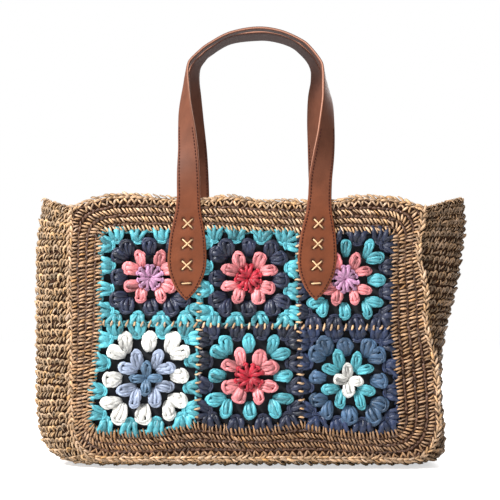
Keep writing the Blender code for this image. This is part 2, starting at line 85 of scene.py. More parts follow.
# Columns: seam x, seam z, mid-gusset x, mid-gusset z.
SEAM = (
    (-0.4081, 0.9522, -0.4843, 0.9964), (-0.4092, 0.8623, -0.4966, 0.8768),
    (-0.4103, 0.7428, -0.5000, 0.7428), (-0.4070, 0.5072, -0.5000, 0.5072),
    (-0.4058, 0.2717, -0.5000, 0.2717), (-0.4025, 0.1522, -0.4933, 0.1304),
    (-0.3879, 0.0833, -0.4731, 0.0616), (-0.3475, 0.0420, -0.4260, 0.0145),
    (-0.2691, 0.0380, -0.3363, 0.0000), (-0.1121, 0.0390, -0.1345, 0.0000),
    (0.0000, 0.0400, 0.0000, 0.0000), (0.1121, 0.0390, 0.1345, 0.0000),
    (0.2691, 0.0370, 0.3139, 0.0000), (0.3655, 0.0330, 0.4036, 0.0072),
    (0.4036, 0.0720, 0.4462, 0.0435), (0.4238, 0.1522, 0.4507, 0.1304),
    (0.4215, 0.2355, 0.4439, 0.2355), (0.4148, 0.3841, 0.4439, 0.3841),
    (0.3991, 0.4891, 0.4496, 0.4710), (0.3924, 0.5435, 0.4596, 0.5435),
    (0.3946, 0.6522, 0.4776, 0.6522), (0.3778, 0.7862, 0.4899, 0.7681),
    (0.3857, 0.8877, 0.5000, 0.9058), (0.3924, 0.9522, 0.4944, 1.0000),
)
LOWER_LEFT, LOWER_RIGHT = 6, 14

# Columns: x, z of the rim's top row from left to right.
RIM = (
    (-0.4081, 0.9522), (-0.3529, 0.9851), (-0.2848, 0.9996), (-0.1946, 0.9888),
    (-0.1085, 0.9815), (-0.0475, 0.9924), (0.0204, 0.9743), (0.0769, 0.9779),
    (0.1110, 0.9743), (0.1854, 0.9743), (0.2422, 0.9906), (0.3258, 0.9851),
    (0.3643, 0.9670), (0.3924, 0.9522),
)

# Corners where the squares meet, lowest row first.
SQUARE_CORNERS = (
    ((-0.3655, 0.1486), (-0.1211, 0.1739), (0.1143, 0.1757), (0.3363, 0.1449)),
    ((-0.3386, 0.5326), (-0.1155, 0.5254), (0.1076, 0.5181), (0.3150, 0.5145)),
    ((-0.3363, 0.8659), (-0.1166, 0.8732), (0.1054, 0.8623), (0.3206, 0.8659)),
)

# %% Curves through the tables


def curve(rows, at):
    """Row of a table at places between its rows, on a smooth curve. at may be an array."""
    table = np.asarray(rows, float)
    last = len(table) - 1
    at = np.clip(np.asarray(at, float), 0.0, last)
    low = np.minimum(at.astype(int), last - 1)
    share = (at - low)[..., None]
    first = table[np.maximum(low - 1, 0)]
    start = table[low]
    stop = table[low + 1]
    final = table[np.minimum(low + 2, last)]
    leave = 0.5 * (stop - first)
    arrive = 0.5 * (final - start)
    square, cube = share**2, share**3
    value = (2 * cube - 3 * square + 1) * start + (cube - 2 * square + share) * leave
    return value + (3 * square - 2 * cube) * stop + (cube - square) * arrive


def even_places(rows, start, stop, count):
    """Places along a table, count spans from start to stop, equally far apart on its curve."""
    places = np.linspace(start, stop, 1201)
    points = curve(rows, places)[:, :2] * (BODY_WIDTH, BODY_HEIGHT)
    steps = np.linalg.norm(np.diff(points, axis=0), axis=1)
    lengths = np.concatenate([[0.0], np.cumsum(steps)])
    return np.interp(np.linspace(0, lengths[-1], count + 1), lengths, places)


def front_y(x, z):
    """Depth of the front face before any relief."""
    x, z = np.asarray(x, float), np.asarray(z, float)
    share = curve(FRONT_SECTIONS, np.clip(z / BODY_HEIGHT, 0, 1) * 5)[..., 1]
    away = 2 * x / (BODY_WIDTH * 0.83)
    return -(share * BODY_DEPTH / 2 - PANEL_CROWN * np.minimum(away**2, 1.2))


def seam_points(places):
    """Seam and mid-gusset points as (x, z) at places along the outline."""
    rows = curve(SEAM, places)
    seam = rows[..., :2] * (BODY_WIDTH, BODY_HEIGHT)
    middle = np.stack([rows[..., 2] * BODY_WIDTH, np.maximum(rows[..., 3], 0) * BODY_HEIGHT], axis=-1)
    return seam, middle


def square_xz(row, column, across, up):
    """Place on the panel of a point of a square, with shares across and up."""
    across, up = np.asarray(across, float)[..., None], np.asarray(up, float)[..., None]
    corners = np.asarray(SQUARE_CORNERS)[row : row + 2, column : column + 2] * (BODY_WIDTH, BODY_HEIGHT)
    low = corners[0, 0] + (corners[0, 1] - corners[0, 0]) * across
    high = corners[1, 0] + (corners[1, 1] - corners[1, 0]) * across
    found = low + (high - low) * up
    if row == 0:
        sag = SQUARE_SAG * 4 * across[..., 0] * (1 - across[..., 0]) * (1 - up[..., 0])
        found[..., 1] -= sag
    return found


def on_front(xz, rise=0.0):
    """Points on the front face, standing rise in front of it."""
    xz = np.asarray(xz, float)
    return np.stack([xz[..., 0], front_y(xz[..., 0], xz[..., 1]) - rise, xz[..., 1]], axis=-1)


def ring_edges(per_square):
    """Inner and outer edge of the border, anticlockwise from the top left, per_square places a square."""
    side = np.arange(per_square) / per_square
    inner = [square_xz(row, 0, 0 * side, 1 - side) for row in (1, 0)]
    inner += [square_xz(0, column, side, 0 * side) for column in range(3)]
    inner += [square_xz(row, 2, 0 * side + 1, side) for row in (0, 1)]
    inner += [square_xz(1, column, 1 - side, 0 * side + 1) for column in (2, 1, 0)]
    outer = []
    spans = ((0, LOWER_LEFT, 2), (LOWER_LEFT, LOWER_RIGHT, 3), (LOWER_RIGHT, len(SEAM) - 1, 2))
    for start, stop, squares in spans:
        outer.append(seam_points(even_places(SEAM, start, stop, squares * per_square)[:-1])[0])
    rim = curve(RIM, even_places(RIM, 0, len(RIM) - 1, 3 * per_square)[:0:-1])
    outer.append(rim * (BODY_WIDTH, BODY_HEIGHT))
    return np.concatenate(inner), np.concatenate(outer)


INNER, OUTER = ring_edges(60)
print("border stations:", len(INNER), len(OUTER))

# %% [markdown]
# ## Strands
# Everything crocheted is made of strands: short tubes that swell, bend and taper. One function turns
# centre lines into closed tubes and keeps on every vertex what the shader needs: how far along the
# strand it lies, how far round, and a random number for the strand.

# %% Tubes from centre lines
rng = np.random.default_rng(20)


def tubes(lines, wide, thick, normals, sides=6, folds=0.0):
    """Points, faces and fibre coordinates of closed tubes. lines is (strands, points, 3)."""
    lines = np.asarray(lines, float)
    count, steps, _ = lines.shape
    wide = np.broadcast_to(np.asarray(wide, float), (count, steps))
    thick = np.broadcast_to(np.asarray(thick, float), (count, steps))
    normals = np.broadcast_to(np.asarray(normals, float), (count, steps, 3))
    along = np.gradient(lines, axis=1)
    along /= np.linalg.norm(along, axis=2, keepdims=True)
    across = np.cross(along, normals)
    across /= np.linalg.norm(across, axis=2, keepdims=True)
    out = np.cross(across, along)
    turn = np.linspace(0, 2 * math.pi, sides, endpoint=False)
    ring = across[:, :, None] * (np.cos(turn)[:, None] * wide[:, :, None, None])
    ring = ring + out[:, :, None] * (np.sin(turn)[:, None] * thick[:, :, None, None])
    if folds:
        crease = rng.normal(0, 1, (count, 1, sides, 1)) + rng.normal(0, 0.5, (count, steps, sides, 1))
        ring = ring * np.clip(1 + folds * crease, 0.6, 1.45)
    points = (lines[:, :, None] + ring).reshape(-1, 3)
    faces = []
    for strand in range(count):
        base = strand * steps * sides
        for step in range(steps - 1):
            here = base + step * sides
            for side in range(sides):
                after = (side + 1) % sides
                faces.append((here + side, here + after, here + sides + after, here + sides + side))
        faces.append(tuple(base + side for side in range(sides))[::-1])
        faces.append(tuple(base + (steps - 1) * sides + side for side in range(sides)))
    lengths = np.cumsum(np.linalg.norm(np.diff(lines, axis=1, prepend=lines[:, :1]), axis=2), axis=1)
    fibre = np.zeros((count, steps, sides, 3))
    fibre[..., 0] = lengths[:, :, None] * 100
    fibre[..., 1] = np.sin(turn) * 0.5 + 0.5
    fibre[..., 2] = rng.random((count, 1, 1))
    return points, faces, fibre.reshape(-1, 3)


def mesh_object(name, points, faces, attributes=(), smooth=True):
    """Mesh object with named point attributes, kept out of the scene until it is linked."""
    mesh = bpy.data.meshes.new(name)
    mesh.from_pydata(np.asarray(points, float).tolist(), [], faces)
    mesh.update()
    for label, kind, values in attributes:
        layer = mesh.attributes.new(label, kind, "POINT")
        field = {"FLOAT_COLOR": "color", "FLOAT_VECTOR": "vector"}.get(kind, "value")
        layer.data.foreach_set(field, np.asarray(values).reshape(-1))
    if smooth:
        mesh.polygons.foreach_set("use_smooth", [True] * len(mesh.polygons))
    return bpy.data.objects.new(name, mesh)


def strand_object(name, parts, tint=None):
    """One object from several results of tubes, with its fibre coordinates."""
    points, faces, fibre, start = [], [], [], 0
    for part_points, part_faces, part_fibre in parts:
        points.append(part_points)
        fibre.append(part_fibre)
        faces += [tuple(corner + start for corner in face) for face in part_faces]
        start += len(part_points)
    points, fibre = np.concatenate(points), np.concatenate(fibre)
    attributes = [("fibre", "FLOAT_VECTOR", fibre)]
    if tint is not None:
        attributes.append(("tint", "FLOAT_COLOR", np.tile([*tint, 1.0], (len(points), 1))))
        attributes.append(("shade", "FLOAT", np.full(len(points), 0.5)))
    return mesh_object(name, points, faces, attributes)


def linear(red, green, blue):
    """Linear colour from the 0 to 255 values of a picture."""
    values = np.array([red, green, blue]) / 255
    return tuple(np.where(values <= 0.04045, values / 12.92, ((values + 0.055) / 1.055) ** 2.4))


# %% [markdown]
# ## Materials
# One group of shader nodes serves all strands. It reads the strand's own colour, brightens or darkens it from
# strand to strand, and cuts fine folds along the fibre as bumps, with painted shade in their creases and
# painted highlight on their ridges. Leather has its own material.

# %% Shader for strands


def strand_group():
    """Group that turns a strand's attributes into colour and bump."""
    group = bpy.data.node_groups.new("Strand", "ShaderNodeTree")
    group.interface.new_socket("Fold depth", in_out="INPUT", socket_type="NodeSocketFloat")
    group.interface.new_socket("Contrast", in_out="INPUT", socket_type="NodeSocketFloat")
    group.interface.new_socket("Colour", in_out="OUTPUT", socket_type="NodeSocketColor")
    group.interface.new_socket("Normal", in_out="OUTPUT", socket_type="NodeSocketVector")
    nodes, links = group.nodes, group.links
    given = nodes.new("NodeGroupInput")
    result = nodes.new("NodeGroupOutput")
    tint = nodes.new("ShaderNodeAttribute")
    tint.attribute_name = "tint"
    shade = nodes.new("ShaderNodeAttribute")
    shade.attribute_name = "shade"
    fibre = nodes.new("ShaderNodeAttribute")
    fibre.attribute_name = "fibre"
    stretch = nodes.new("ShaderNodeVectorMath")
    stretch.operation = "MULTIPLY"
    stretch.inputs[1].default_value = (1.2, 5.0, 40.0)
    links.new(fibre.outputs["Vector"], stretch.inputs[0])
    folds = nodes.new("ShaderNodeTexNoise")
    folds.inputs["Scale"].default_value = 1.6
    folds.inputs["Detail"].default_value = 3.0
    folds.inputs["Roughness"].default_value = 0.6
    links.new(stretch.outputs["Vector"], folds.inputs["Vector"])
    parts = nodes.new("ShaderNodeSeparateXYZ")
    links.new(fibre.outputs["Vector"], parts.inputs["Vector"])
    # Brightness: one part from the strand, one from the stitch, one from the folds, which is painted shade in
    # their creases and painted highlight on their ridges.
    strand_part = nodes.new("ShaderNodeMath")
    strand_part.operation = "SUBTRACT"
    strand_part.inputs[1].default_value = 0.5
    links.new(parts.outputs["Z"], strand_part.inputs[0])
    stitch_part = nodes.new("ShaderNodeMath")
    stitch_part.operation = "SUBTRACT"
    stitch_part.inputs[1].default_value = 0.5
    links.new(shade.outputs["Fac"], stitch_part.inputs[0])
    # Painted shade and painted highlight of the folds, from the noise that also drives the bump.
    fold_shade = nodes.new("ShaderNodeMapRange")
    fold_shade.inputs["From Min"].default_value = 0.32
    fold_shade.inputs["From Max"].default_value = 0.68
    fold_shade.inputs["To Min"].default_value = -0.6
    fold_shade.inputs["To Max"].default_value = 0.5
    links.new(folds.outputs["Fac"], fold_shade.inputs["Value"])
    both = nodes.new("ShaderNodeMath")
    both.operation = "ADD"
    links.new(strand_part.outputs["Value"], both.inputs[0])
    links.new(stitch_part.outputs["Value"], both.inputs[1])
    double = nodes.new("ShaderNodeMath")
    double.operation = "MULTIPLY_ADD"
    double.inputs[1].default_value = 1.0
    links.new(fold_shade.outputs["Result"], double.inputs[0])
    links.new(both.outputs["Value"], double.inputs[2])
    factor = nodes.new("ShaderNodeMath")
    factor.operation = "MULTIPLY_ADD"
    factor.inputs[2].default_value = 1.0
    links.new(double.outputs["Value"], factor.inputs[0])
    links.new(given.outputs["Contrast"], factor.inputs[1])
    scaled = nodes.new("ShaderNodeVectorMath")
    scaled.operation = "SCALE"
    links.new(tint.outputs["Color"], scaled.inputs[0])
    links.new(factor.outputs["Value"], scaled.inputs["Scale"])
    bump = nodes.new("ShaderNodeBump")
    bump.inputs["Distance"].default_value = 0.0006
    links.new(given.outputs["Fold depth"], bump.inputs["Strength"])
    links.new(folds.outputs["Fac"], bump.inputs["Height"])
    links.new(scaled.outputs["Vector"], result.inputs["Colour"])
    links.new(bump.outputs["Normal"], result.inputs["Normal"])
    return group


STRAND = strand_group()


def strand_material(name, roughness, specular, fold, contrast):
    """Principled material round the strand group."""
    material = bpy.data.materials.new(name)
    material.use_nodes = True
    nodes, links = material.node_tree.nodes, material.node_tree.links
    shader = nodes["Principled BSDF"]
    shader.inputs["Roughness"].default_value = roughness
    shader.inputs["Specular IOR Level"].default_value = specular
    use = nodes.new("ShaderNodeGroup")
    use.node_tree = STRAND
    use.inputs["Fold depth"].default_value = fold
    use.inputs["Contrast"].default_value = contrast
    links.new(use.outputs["Colour"], shader.inputs["Base Color"])
    links.new(use.outputs["Normal"], shader.inputs["Normal"])
    return material


RAFFIA = strand_material("Raffia", 0.42, 0.5, 0.9, 0.6)
YARN = strand_material("Yarn", 0.42, 0.5, 1.0, 0.7)
THREAD = strand_material("Thread", 0.7, 0.2, 0.3, 0.3)
# The ground material carries painted shade: dark sheets behind the stitches.
SHADE_GROUND = strand_material("Shade ground", 0.9, 0.1, 0.2, 0.3)
print("strand materials:", RAFFIA.name, YARN.name, THREAD.name, SHADE_GROUND.name)

# %% Leather
EDGE_COLOUR = linear(196, 142, 118)
UNDER_SHADE_COLOUR = linear(62, 52, 52)
FACE_COLOUR = linear(116, 62, 37)
LEG_COLOUR = linear(108, 64, 46)


def leather_material(name, face, leg):
    """Tan leather: mottled face, browner along the strap, pale cut edge, painted shade in the stitch holes
    and a greyer painted shade on the arch's underside.
    """
    material = bpy.data.materials.new(name)
    material.use_nodes = True
    nodes, links = material.node_tree.nodes, material.node_tree.links
    shader = nodes["Principled BSDF"]
    place = nodes.new("ShaderNodeTexCoord")
    mottle = nodes.new("ShaderNodeTexNoise")
    mottle.inputs["Scale"].default_value = 60.0
    mottle.inputs["Detail"].default_value = 5.0
    links.new(place.outputs["Object"], mottle.inputs["Vector"])
    grain = nodes.new("ShaderNodeTexVoronoi")
    grain.inputs["Scale"].default_value = 900.0
    links.new(place.outputs["Object"], grain.inputs["Vector"])
    zone = nodes.new("ShaderNodeAttribute")
    zone.attribute_name = "zone"
    zones = nodes.new("ShaderNodeSeparateXYZ")
    links.new(zone.outputs["Vector"], zones.inputs["Vector"])
    body = nodes.new("ShaderNodeMix")
    body.data_type = "RGBA"
    body.inputs["A"].default_value = (*face, 1.0)
    body.inputs["B"].default_value = (*leg, 1.0)
    links.new(zones.outputs["X"], body.inputs["Factor"])
    spread = nodes.new("ShaderNodeMapRange")
    spread.inputs["From Min"].default_value = 0.3
    spread.inputs["From Max"].default_value = 0.7
    spread.inputs["To Min"].default_value = 0.82
    spread.inputs["To Max"].default_value = 1.12
    links.new(mottle.outputs["Fac"], spread.inputs["Value"])
    toned = nodes.new("ShaderNodeVectorMath")
    toned.operation = "SCALE"
    links.new(body.outputs["Result"], toned.inputs[0])
    links.new(spread.outputs["Result"], toned.inputs["Scale"])
    # Painted shade: the underside and cut edges of the arch are mixed towards a dark grey.
    under = nodes.new("ShaderNodeAttribute")
    under.attribute_name = "under"
    under_shade_mix = nodes.new("ShaderNodeMix")
    under_shade_mix.data_type = "RGBA"
    under_shade_mix.inputs["B"].default_value = (*UNDER_SHADE_COLOUR, 1.0)
    links.new(under.outputs["Fac"], under_shade_mix.inputs["Factor"])
    links.new(toned.outputs["Vector"], under_shade_mix.inputs["A"])
    # Painted shade in the stitch holes: the leather darkens by up to 85 percent round each hole.
    hole_shade_factor = nodes.new("ShaderNodeMath")
    hole_shade_factor.operation = "MULTIPLY_ADD"
    hole_shade_factor.inputs[1].default_value = -0.85
    hole_shade_factor.inputs[2].default_value = 1.0
    links.new(zones.outputs["Z"], hole_shade_factor.inputs[0])
    hole_shaded = nodes.new("ShaderNodeVectorMath")
    hole_shaded.operation = "SCALE"
    links.new(under_shade_mix.outputs["Result"], hole_shaded.inputs[0])
    links.new(hole_shade_factor.outputs["Value"], hole_shaded.inputs["Scale"])
    edged = nodes.new("ShaderNodeMix")
    edged.data_type = "RGBA"
    edged.inputs["B"].default_value = (*EDGE_COLOUR, 1.0)
    links.new(zones.outputs["Y"], edged.inputs["Factor"])
    links.new(hole_shaded.outputs["Vector"], edged.inputs["A"])
    links.new(edged.outputs["Result"], shader.inputs["Base Color"])
    bump = nodes.new("ShaderNodeBump")
    bump.inputs["Strength"].default_value = 0.25
    bump.inputs["Distance"].default_value = 0.0003
    links.new(grain.outputs["Distance"], bump.inputs["Height"])
    links.new(bump.outputs["Normal"], shader.inputs["Normal"])
    shader.inputs["Roughness"].default_value = 0.6
    shader.inputs["Specular IOR Level"].default_value = 0.2
    return material


LEATHER = leather_material("Tan leather", FACE_COLOUR, LEG_COLOUR)

# %% [markdown]
# ## Scattering stitches
# A carrier is a mesh of loose points. Each point holds which stitch to use, how it is turned and
# sized, its colour and its shade. A short tree of geometry nodes puts the stitches on the points
# and joins them into one mesh.

# %% The scatter tree


def scatter_tree():
    """Geometry nodes that instance a collection's stitches on a carrier's points."""
    tree = bpy.data.node_groups.new("Scatter stitches", "GeometryNodeTree")
    face = tree.interface
    face.new_socket("Geometry", in_out="INPUT", socket_type="NodeSocketGeometry")
    face.new_socket("Stitches", in_out="INPUT", socket_type="NodeSocketCollection")
    face.new_socket("Material", in_out="INPUT", socket_type="NodeSocketMaterial")
    face.new_socket("Geometry", in_out="OUTPUT", socket_type="NodeSocketGeometry")
    nodes, links = tree.nodes, tree.links
    given = nodes.new("NodeGroupInput")
    result = nodes.new("NodeGroupOutput")
    stitches = nodes.new("GeometryNodeCollectionInfo")
    stitches.inputs["Separate Children"].default_value = True
    stitches.inputs["Reset Children"].default_value = True
    place = nodes.new("GeometryNodeInstanceOnPoints")
    place.inputs["Pick Instance"].default_value = True
    turn = nodes.new("FunctionNodeEulerToRotation")
    named = {}
    for label, kind in (("kind", "INT"), ("turn", "FLOAT_VECTOR"), ("size", "FLOAT_VECTOR")):
        named[label] = nodes.new("GeometryNodeInputNamedAttribute")
        named[label].data_type = kind
        named[label].inputs["Name"].default_value = label
    join = nodes.new("GeometryNodeRealizeInstances")
    paint = nodes.new("GeometryNodeSetMaterial")
    links.new(given.outputs["Geometry"], place.inputs["Points"])
    links.new(given.outputs["Stitches"], stitches.inputs["Collection"])
    links.new(stitches.outputs["Instances"], place.inputs["Instance"])
    links.new(named["kind"].outputs["Attribute"], place.inputs["Instance Index"])
    links.new(named["turn"].outputs["Attribute"], turn.inputs["Euler"])
    links.new(turn.outputs["Rotation"], place.inputs["Rotation"])
    links.new(named["size"].outputs["Attribute"], place.inputs["Scale"])
    links.new(place.outputs["Instances"], join.inputs["Geometry"])
    links.new(join.outputs["Geometry"], paint.inputs["Geometry"])
    links.new(given.outputs["Material"], paint.inputs["Material"])
    links.new(paint.outputs["Geometry"], result.inputs["Geometry"])
    return tree


SCATTER = scatter_tree()


def stitch_collection(name, objects):
    """Collection of stitch variants, in order of their names."""
    found = bpy.data.collections.new(name)
    for number, thing in enumerate(objects):
        thing.name = f"{name} {number:02d}"
        found.objects.link(thing)
    return found


def eulers(along, up, out):
    """Euler angles of stitches with these local X, Y and Z directions."""
    found = []
    for x, y, z in zip(along, up, out):
        matrix = Matrix((x, y, z)).transposed()
        found.append(tuple(matrix.to_euler()))
    return np.array(found)


def scatter(name, stitches, material, points, up, out, size, tint, shade, kinds=None):
    """Stitches on points. up is the direction a stitch grows in, out the way its face looks."""
    points, up, out = (np.asarray(value, float).reshape(-1, 3) for value in (points, up, out))
    count = len(points)
    out = out / np.linalg.norm(out, axis=1, keepdims=True)
    up = up - out * np.sum(up * out, axis=1, keepdims=True)
    up = up / np.linalg.norm(up, axis=1, keepdims=True)
    along = np.cross(up, out)
    variants = len(stitches.objects)
    kinds = rng.integers(0, variants, count) if kinds is None else np.asarray(kinds)
    size = np.broadcast_to(np.asarray(size, float), (count, 3))
    tint = np.broadcast_to(np.asarray(tint, float), (count, 3))
    tint = np.concatenate([tint, np.ones((count, 1))], axis=1)
    carrier = mesh_object(
        name + "_carrier", points, [],
        (("kind", "INT", kinds.astype(np.int32)), ("turn", "FLOAT_VECTOR", eulers(along, up, out)),
         ("size", "FLOAT_VECTOR", size), ("tint", "FLOAT_COLOR", tint),
         ("shade", "FLOAT", np.broadcast_to(np.asarray(shade, float), (count,)))),
        smooth=False,
    )
    bpy.context.scene.collection.objects.link(carrier)
    modifier = carrier.modifiers.new("Scatter", "NODES")
    modifier.node_group = SCATTER
    for socket in SCATTER.interface.items_tree:
        if socket.name == "Stitches":
            modifier[socket.identifier] = stitches
        if socket.name == "Material":
            modifier[socket.identifier] = material
    graph = bpy.context.evaluated_depsgraph_get()
    mesh = bpy.data.meshes.new_from_object(carrier.evaluated_get(graph))
    mesh.name = name
    done = bpy.data.objects.new(name, mesh)
    bpy.context.scene.collection.objects.link(done)
    bpy.data.objects.remove(carrier)
    mesh.materials.clear()
    mesh.materials.append(material)
    print(name, "stitches:", count, "triangles:", len(mesh.loops) - 2 * len(mesh.polygons))
    return done


def dress(piece, node=None):
    """A finished piece rides on the body and stands for its solid."""
    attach(piece, "root")
    if node:
        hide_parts(node)
    return piece


# %% [markdown]
# ## Raffia strokes
# Crocheted raffia reads as rows of short slanting strokes, light on top and dark between the rows.
# Every stroke is a flat strand that twists a little. Sixteen variants differ in bend, twist and size.

# %% Variants of the strokes
PITCH = 0.0037
STROKE_LENGTH = 0.0076
FOLDS = 0.15


def wobble(steps, size):
    """Small smooth offsets along a strand."""
    return curve(rng.normal(0, size, (4, 3)), np.linspace(0, 3, steps))


def stroke_line(length, rise, steps, bend=0.35):
    """Centre line of a stroke along Y, sunk at both ends."""
    share = np.linspace(0, 1, steps)
    line = np.zeros((steps, 3))
    line[:, 0] = rng.uniform(-1, 1) * bend * MM * np.sin(math.pi * share)
    line[:, 0] += rng.uniform(-1, 1) * bend * MM * np.sin(2 * math.pi * share)
    line[:, 1] = (share - 0.5) * length
    line[:, 2] = -1.5 * MM + rise * np.sin(math.pi * share) ** 0.8
    return line + wobble(steps, 0.10 * MM)


def twisted(steps, most=50):
    """Facing directions of a flat strand along Y that turns on its way."""
    turn = np.radians(np.linspace(rng.uniform(-most, most), rng.uniform(-most, most), steps))
    return np.stack([np.sin(turn), np.zeros(steps), np.cos(turn)], axis=1)


def swelling(steps, ends, middle):
    """Radii that grow from the ends to the middle."""
    return ends + (middle - ends) * np.sin(math.pi * np.linspace(0, 1, steps)) ** 0.6


def raffia_stroke(steps, sides, radius=0.95, rise=2.9, length=STROKE_LENGTH):
    """One flat strand."""
    size = rng.uniform(0.85, 1.2)
    wide = swelling(steps, 0.5, radius) * MM * size
    line = stroke_line(length * rng.uniform(0.92, 1.08), rise * MM * rng.uniform(0.85, 1.1), steps)
    return strand_object("stroke", [tubes([line], wide, wide * 0.72, twisted(steps), sides, FOLDS)])


def hooked_stroke(steps, sides):
    """A strand bent over like a hook, as on the wrong side of a stitch."""
    share = np.linspace(0, 1, steps)
    turn = math.pi * (0.02 + rng.uniform(0.95, 1.15) * share)
    line = np.zeros((steps, 3))
    line[:, 0] = np.cos(turn) * rng.uniform(1.9, 2.7) * MM
    line[:, 1] = (-2.2 + np.sin(turn) * rng.uniform(4.6, 5.8)) * MM - share * 1.2 * MM
    line[:, 2] = (-1.6 + 3.4 * np.sin(math.pi * share) ** 0.8) * MM
    line += wobble(steps, 0.18 * MM)
    wide = swelling(steps, 0.55, 1.0) * MM * rng.uniform(0.9, 1.15)
    return strand_object("hook", [tubes([line], wide, wide * 0.8, (0, 0, 1), sides, FOLDS)])


FRONT_STROKES = stitch_collection("Front stroke", [raffia_stroke(6, 6) for _ in range(16)])
PLAIN_STROKES = stitch_collection("Plain stroke", [raffia_stroke(5, 4) for _ in range(16)])
HOOKED_STROKES = stitch_collection("Hooked stroke", [hooked_stroke(7, 5) for _ in range(12)])

# %% [markdown]
# ## The raffia border
# Four rows of strokes run round the squares between the inner and the outer edge, and a braid of V-shaped
# strokes covers the seam and the rim. A dark ground of painted shade stands for the depth between the rows.

# %% Border rows
RAFFIA_TINT = np.array(linear(206, 168, 130))
# Painted shade: the dark colour of the grounds behind the stitches.
RAFFIA_SHADE = np.array(linear(62, 41, 30))
# Painted shade: the colour of the darker strands sunk between the border's rows.
UNDER_SHADE_TINT = np.array(linear(98, 68, 50))
UNDER_STRETCH = (1.5, 0.95, 0.8)

# Columns: share of the border's width, length factor, lean factor, how far it stands out in mm.
BORDER_ROWS = (
    (0.055, 1.05, 0.75, 1.1), (0.330, 1.00, 1.00, 0.4), (0.590, 1.00, 1.00, 0.4), (0.850, 1.00, 0.90, 0.3),
)


def raffia_tints(count, base=RAFFIA_TINT, spread=0.16):
    """Raffia colours from yellowish to pinkish about a base."""
    warm = rng.normal(0, spread, (count, 1))
    return np.clip(base * (1 + warm * np.array([0.1, 0.35, 0.9])), 0, 1)


def ring_point(station, share):
    """Point of the border at a station of the ring and a share from the inner to the outer edge."""
    station = np.asarray(station, float) % len(INNER)
    low = station.astype(int) % len(INNER)
    high = (low + 1) % len(INNER)
    part = (station - np.floor(station))[..., None]
    inner = INNER[low] * (1 - part) + INNER[high] * part
    outer = OUTER[low] * (1 - part) + OUTER[high] * part
    return inner + (outer - inner) * np.asarray(share)[..., None]


def ring_line(share):
    """Points round the border at a share of its width, with corners rounder towards the outside."""
    stations = np.arange(len(INNER))
    points = ring_point(stations, np.full(len(stations), share))
    reach = int(4 + 16 * share * (1 - share) * 2)
    window = np.ones(2 * reach + 1) / (2 * reach + 1)
    padded = np.concatenate([points[-reach:], points, points[:reach]])
    return np.stack([np.convolve(padded[:, axis], window, "valid") for axis in (0, 1)], axis=1)


def spaced(points, pitch, closed=True, loose=0.12):
    """Positions and unit tangents, evenly spaced on a line of points."""
    points = np.asarray(points, float)
    if closed:
        points = np.concatenate([points, points[:1]])
    steps = np.linalg.norm(np.diff(points, axis=0), axis=1)
    lengths = np.concatenate([[0.0], np.cumsum(steps)])
    count = max(int(round(lengths[-1] / pitch)), 2)
    wanted = (np.arange(count) + 0.5 + rng.uniform(-loose, loose, count)) * lengths[-1] / count
    axes = range(points.shape[1])
    here = np.stack([np.interp(wanted, lengths, points[:, axis]) for axis in axes], axis=1)
    ahead = np.stack([np.interp(wanted + 0.003, lengths, points[:, axis]) for axis in axes], axis=1)
    behind = np.stack([np.interp(wanted - 0.003, lengths, points[:, axis]) for axis in axes], axis=1)
    along = ahead - behind
    return here, along / np.linalg.norm(along, axis=1, keepdims=True)


def front_strokes(xz, direction, rise, side=-1):
    """Centres, directions and facings of strokes on the front (side -1) or the back (side 1)."""
    flip = np.array([1.0, -side, 1.0])
    here = on_front(xz, rise) * flip
    there = on_front(xz + direction * 2 * MM, rise) * flip
    out = np.tile((0.0, float(side), 0.0), (len(xz), 1))
    return here, there - here, out


def border_rows():
    """Strokes of the border's rows."""
    parts = []
    for share, longer, leaner, rise in BORDER_ROWS:
        xz, along = spaced(ring_line(share), PITCH)
        level = along[:, 0] ** 2
        outward = np.stack([along[:, 1], -along[:, 0]], axis=1)
        lean = np.radians((20 + 24 * level) * leaner + rng.normal(0, 5, len(xz)))
        below = (along[:, 0] > 0.6) & (share < 0.1)
        lean = np.where(below, lean * 0.45, lean)
        if share > 0.8:
            turned = np.where(np.arange(len(xz)) % 2 == 0, -0.75, 1.0)
            lean = lean * np.where(level > 0.5, turned, 1.0)
        direction = outward * np.cos(lean)[:, None] + along * np.sin(lean)[:, None]
        direction = direction + rng.normal(0, 0.05, direction.shape)
        length = longer * (1.14 - 0.12 * level) + below * 0.30
        xz = xz + outward * (rng.normal(0, 0.35, len(xz)) * MM)[:, None]
        here, up, out = front_strokes(xz, direction, rise * MM)
        size = np.stack([np.full(len(xz), 1.08), length, rng.uniform(0.85, 1.15, len(xz))], axis=1)
        # Painted shade: strokes on the sides are painted darker, and those along the bottom darker and
        # browner, because less light falls on them.
        painted_shade = 1 - 0.24 * (1 - level) - 0.40 * np.clip(along[:, 0], 0, 1) ** 2
        painted_shade = painted_shade[:, None] * (1 - (1 - painted_shade[:, None]) * np.array([0.0, 0.28, 0.5]))
        parts.append((here, up, out, size, raffia_tints(len(xz)) * painted_shade))
    # Strands sunk between the rows, in the darker tint of painted shade.
    for share in (0.19, 0.46, 0.72, 0.93):
        xz, along = spaced(ring_line(share), 0.0046)
        turn = np.radians(rng.normal(18, 14, len(xz)))[:, None]
        outward = np.stack([along[:, 1], -along[:, 0]], axis=1)
        direction = along * np.cos(turn) - outward * np.sin(turn)
        here, up, out = front_strokes(xz, direction, -0.7 * MM)
        stretch = np.tile(UNDER_STRETCH, (len(xz), 1))
        parts.append((here, up, out, stretch, raffia_tints(len(xz), UNDER_SHADE_TINT)))
    here, up, out, size, tint = (np.concatenate(part) for part in zip(*parts))
    return scatter("front_border_rows", FRONT_STROKES, RAFFIA, here, up, out, size, tint,
                   rng.uniform(0.0, 1.0, len(here)))


dress(border_rows(), "front_border")


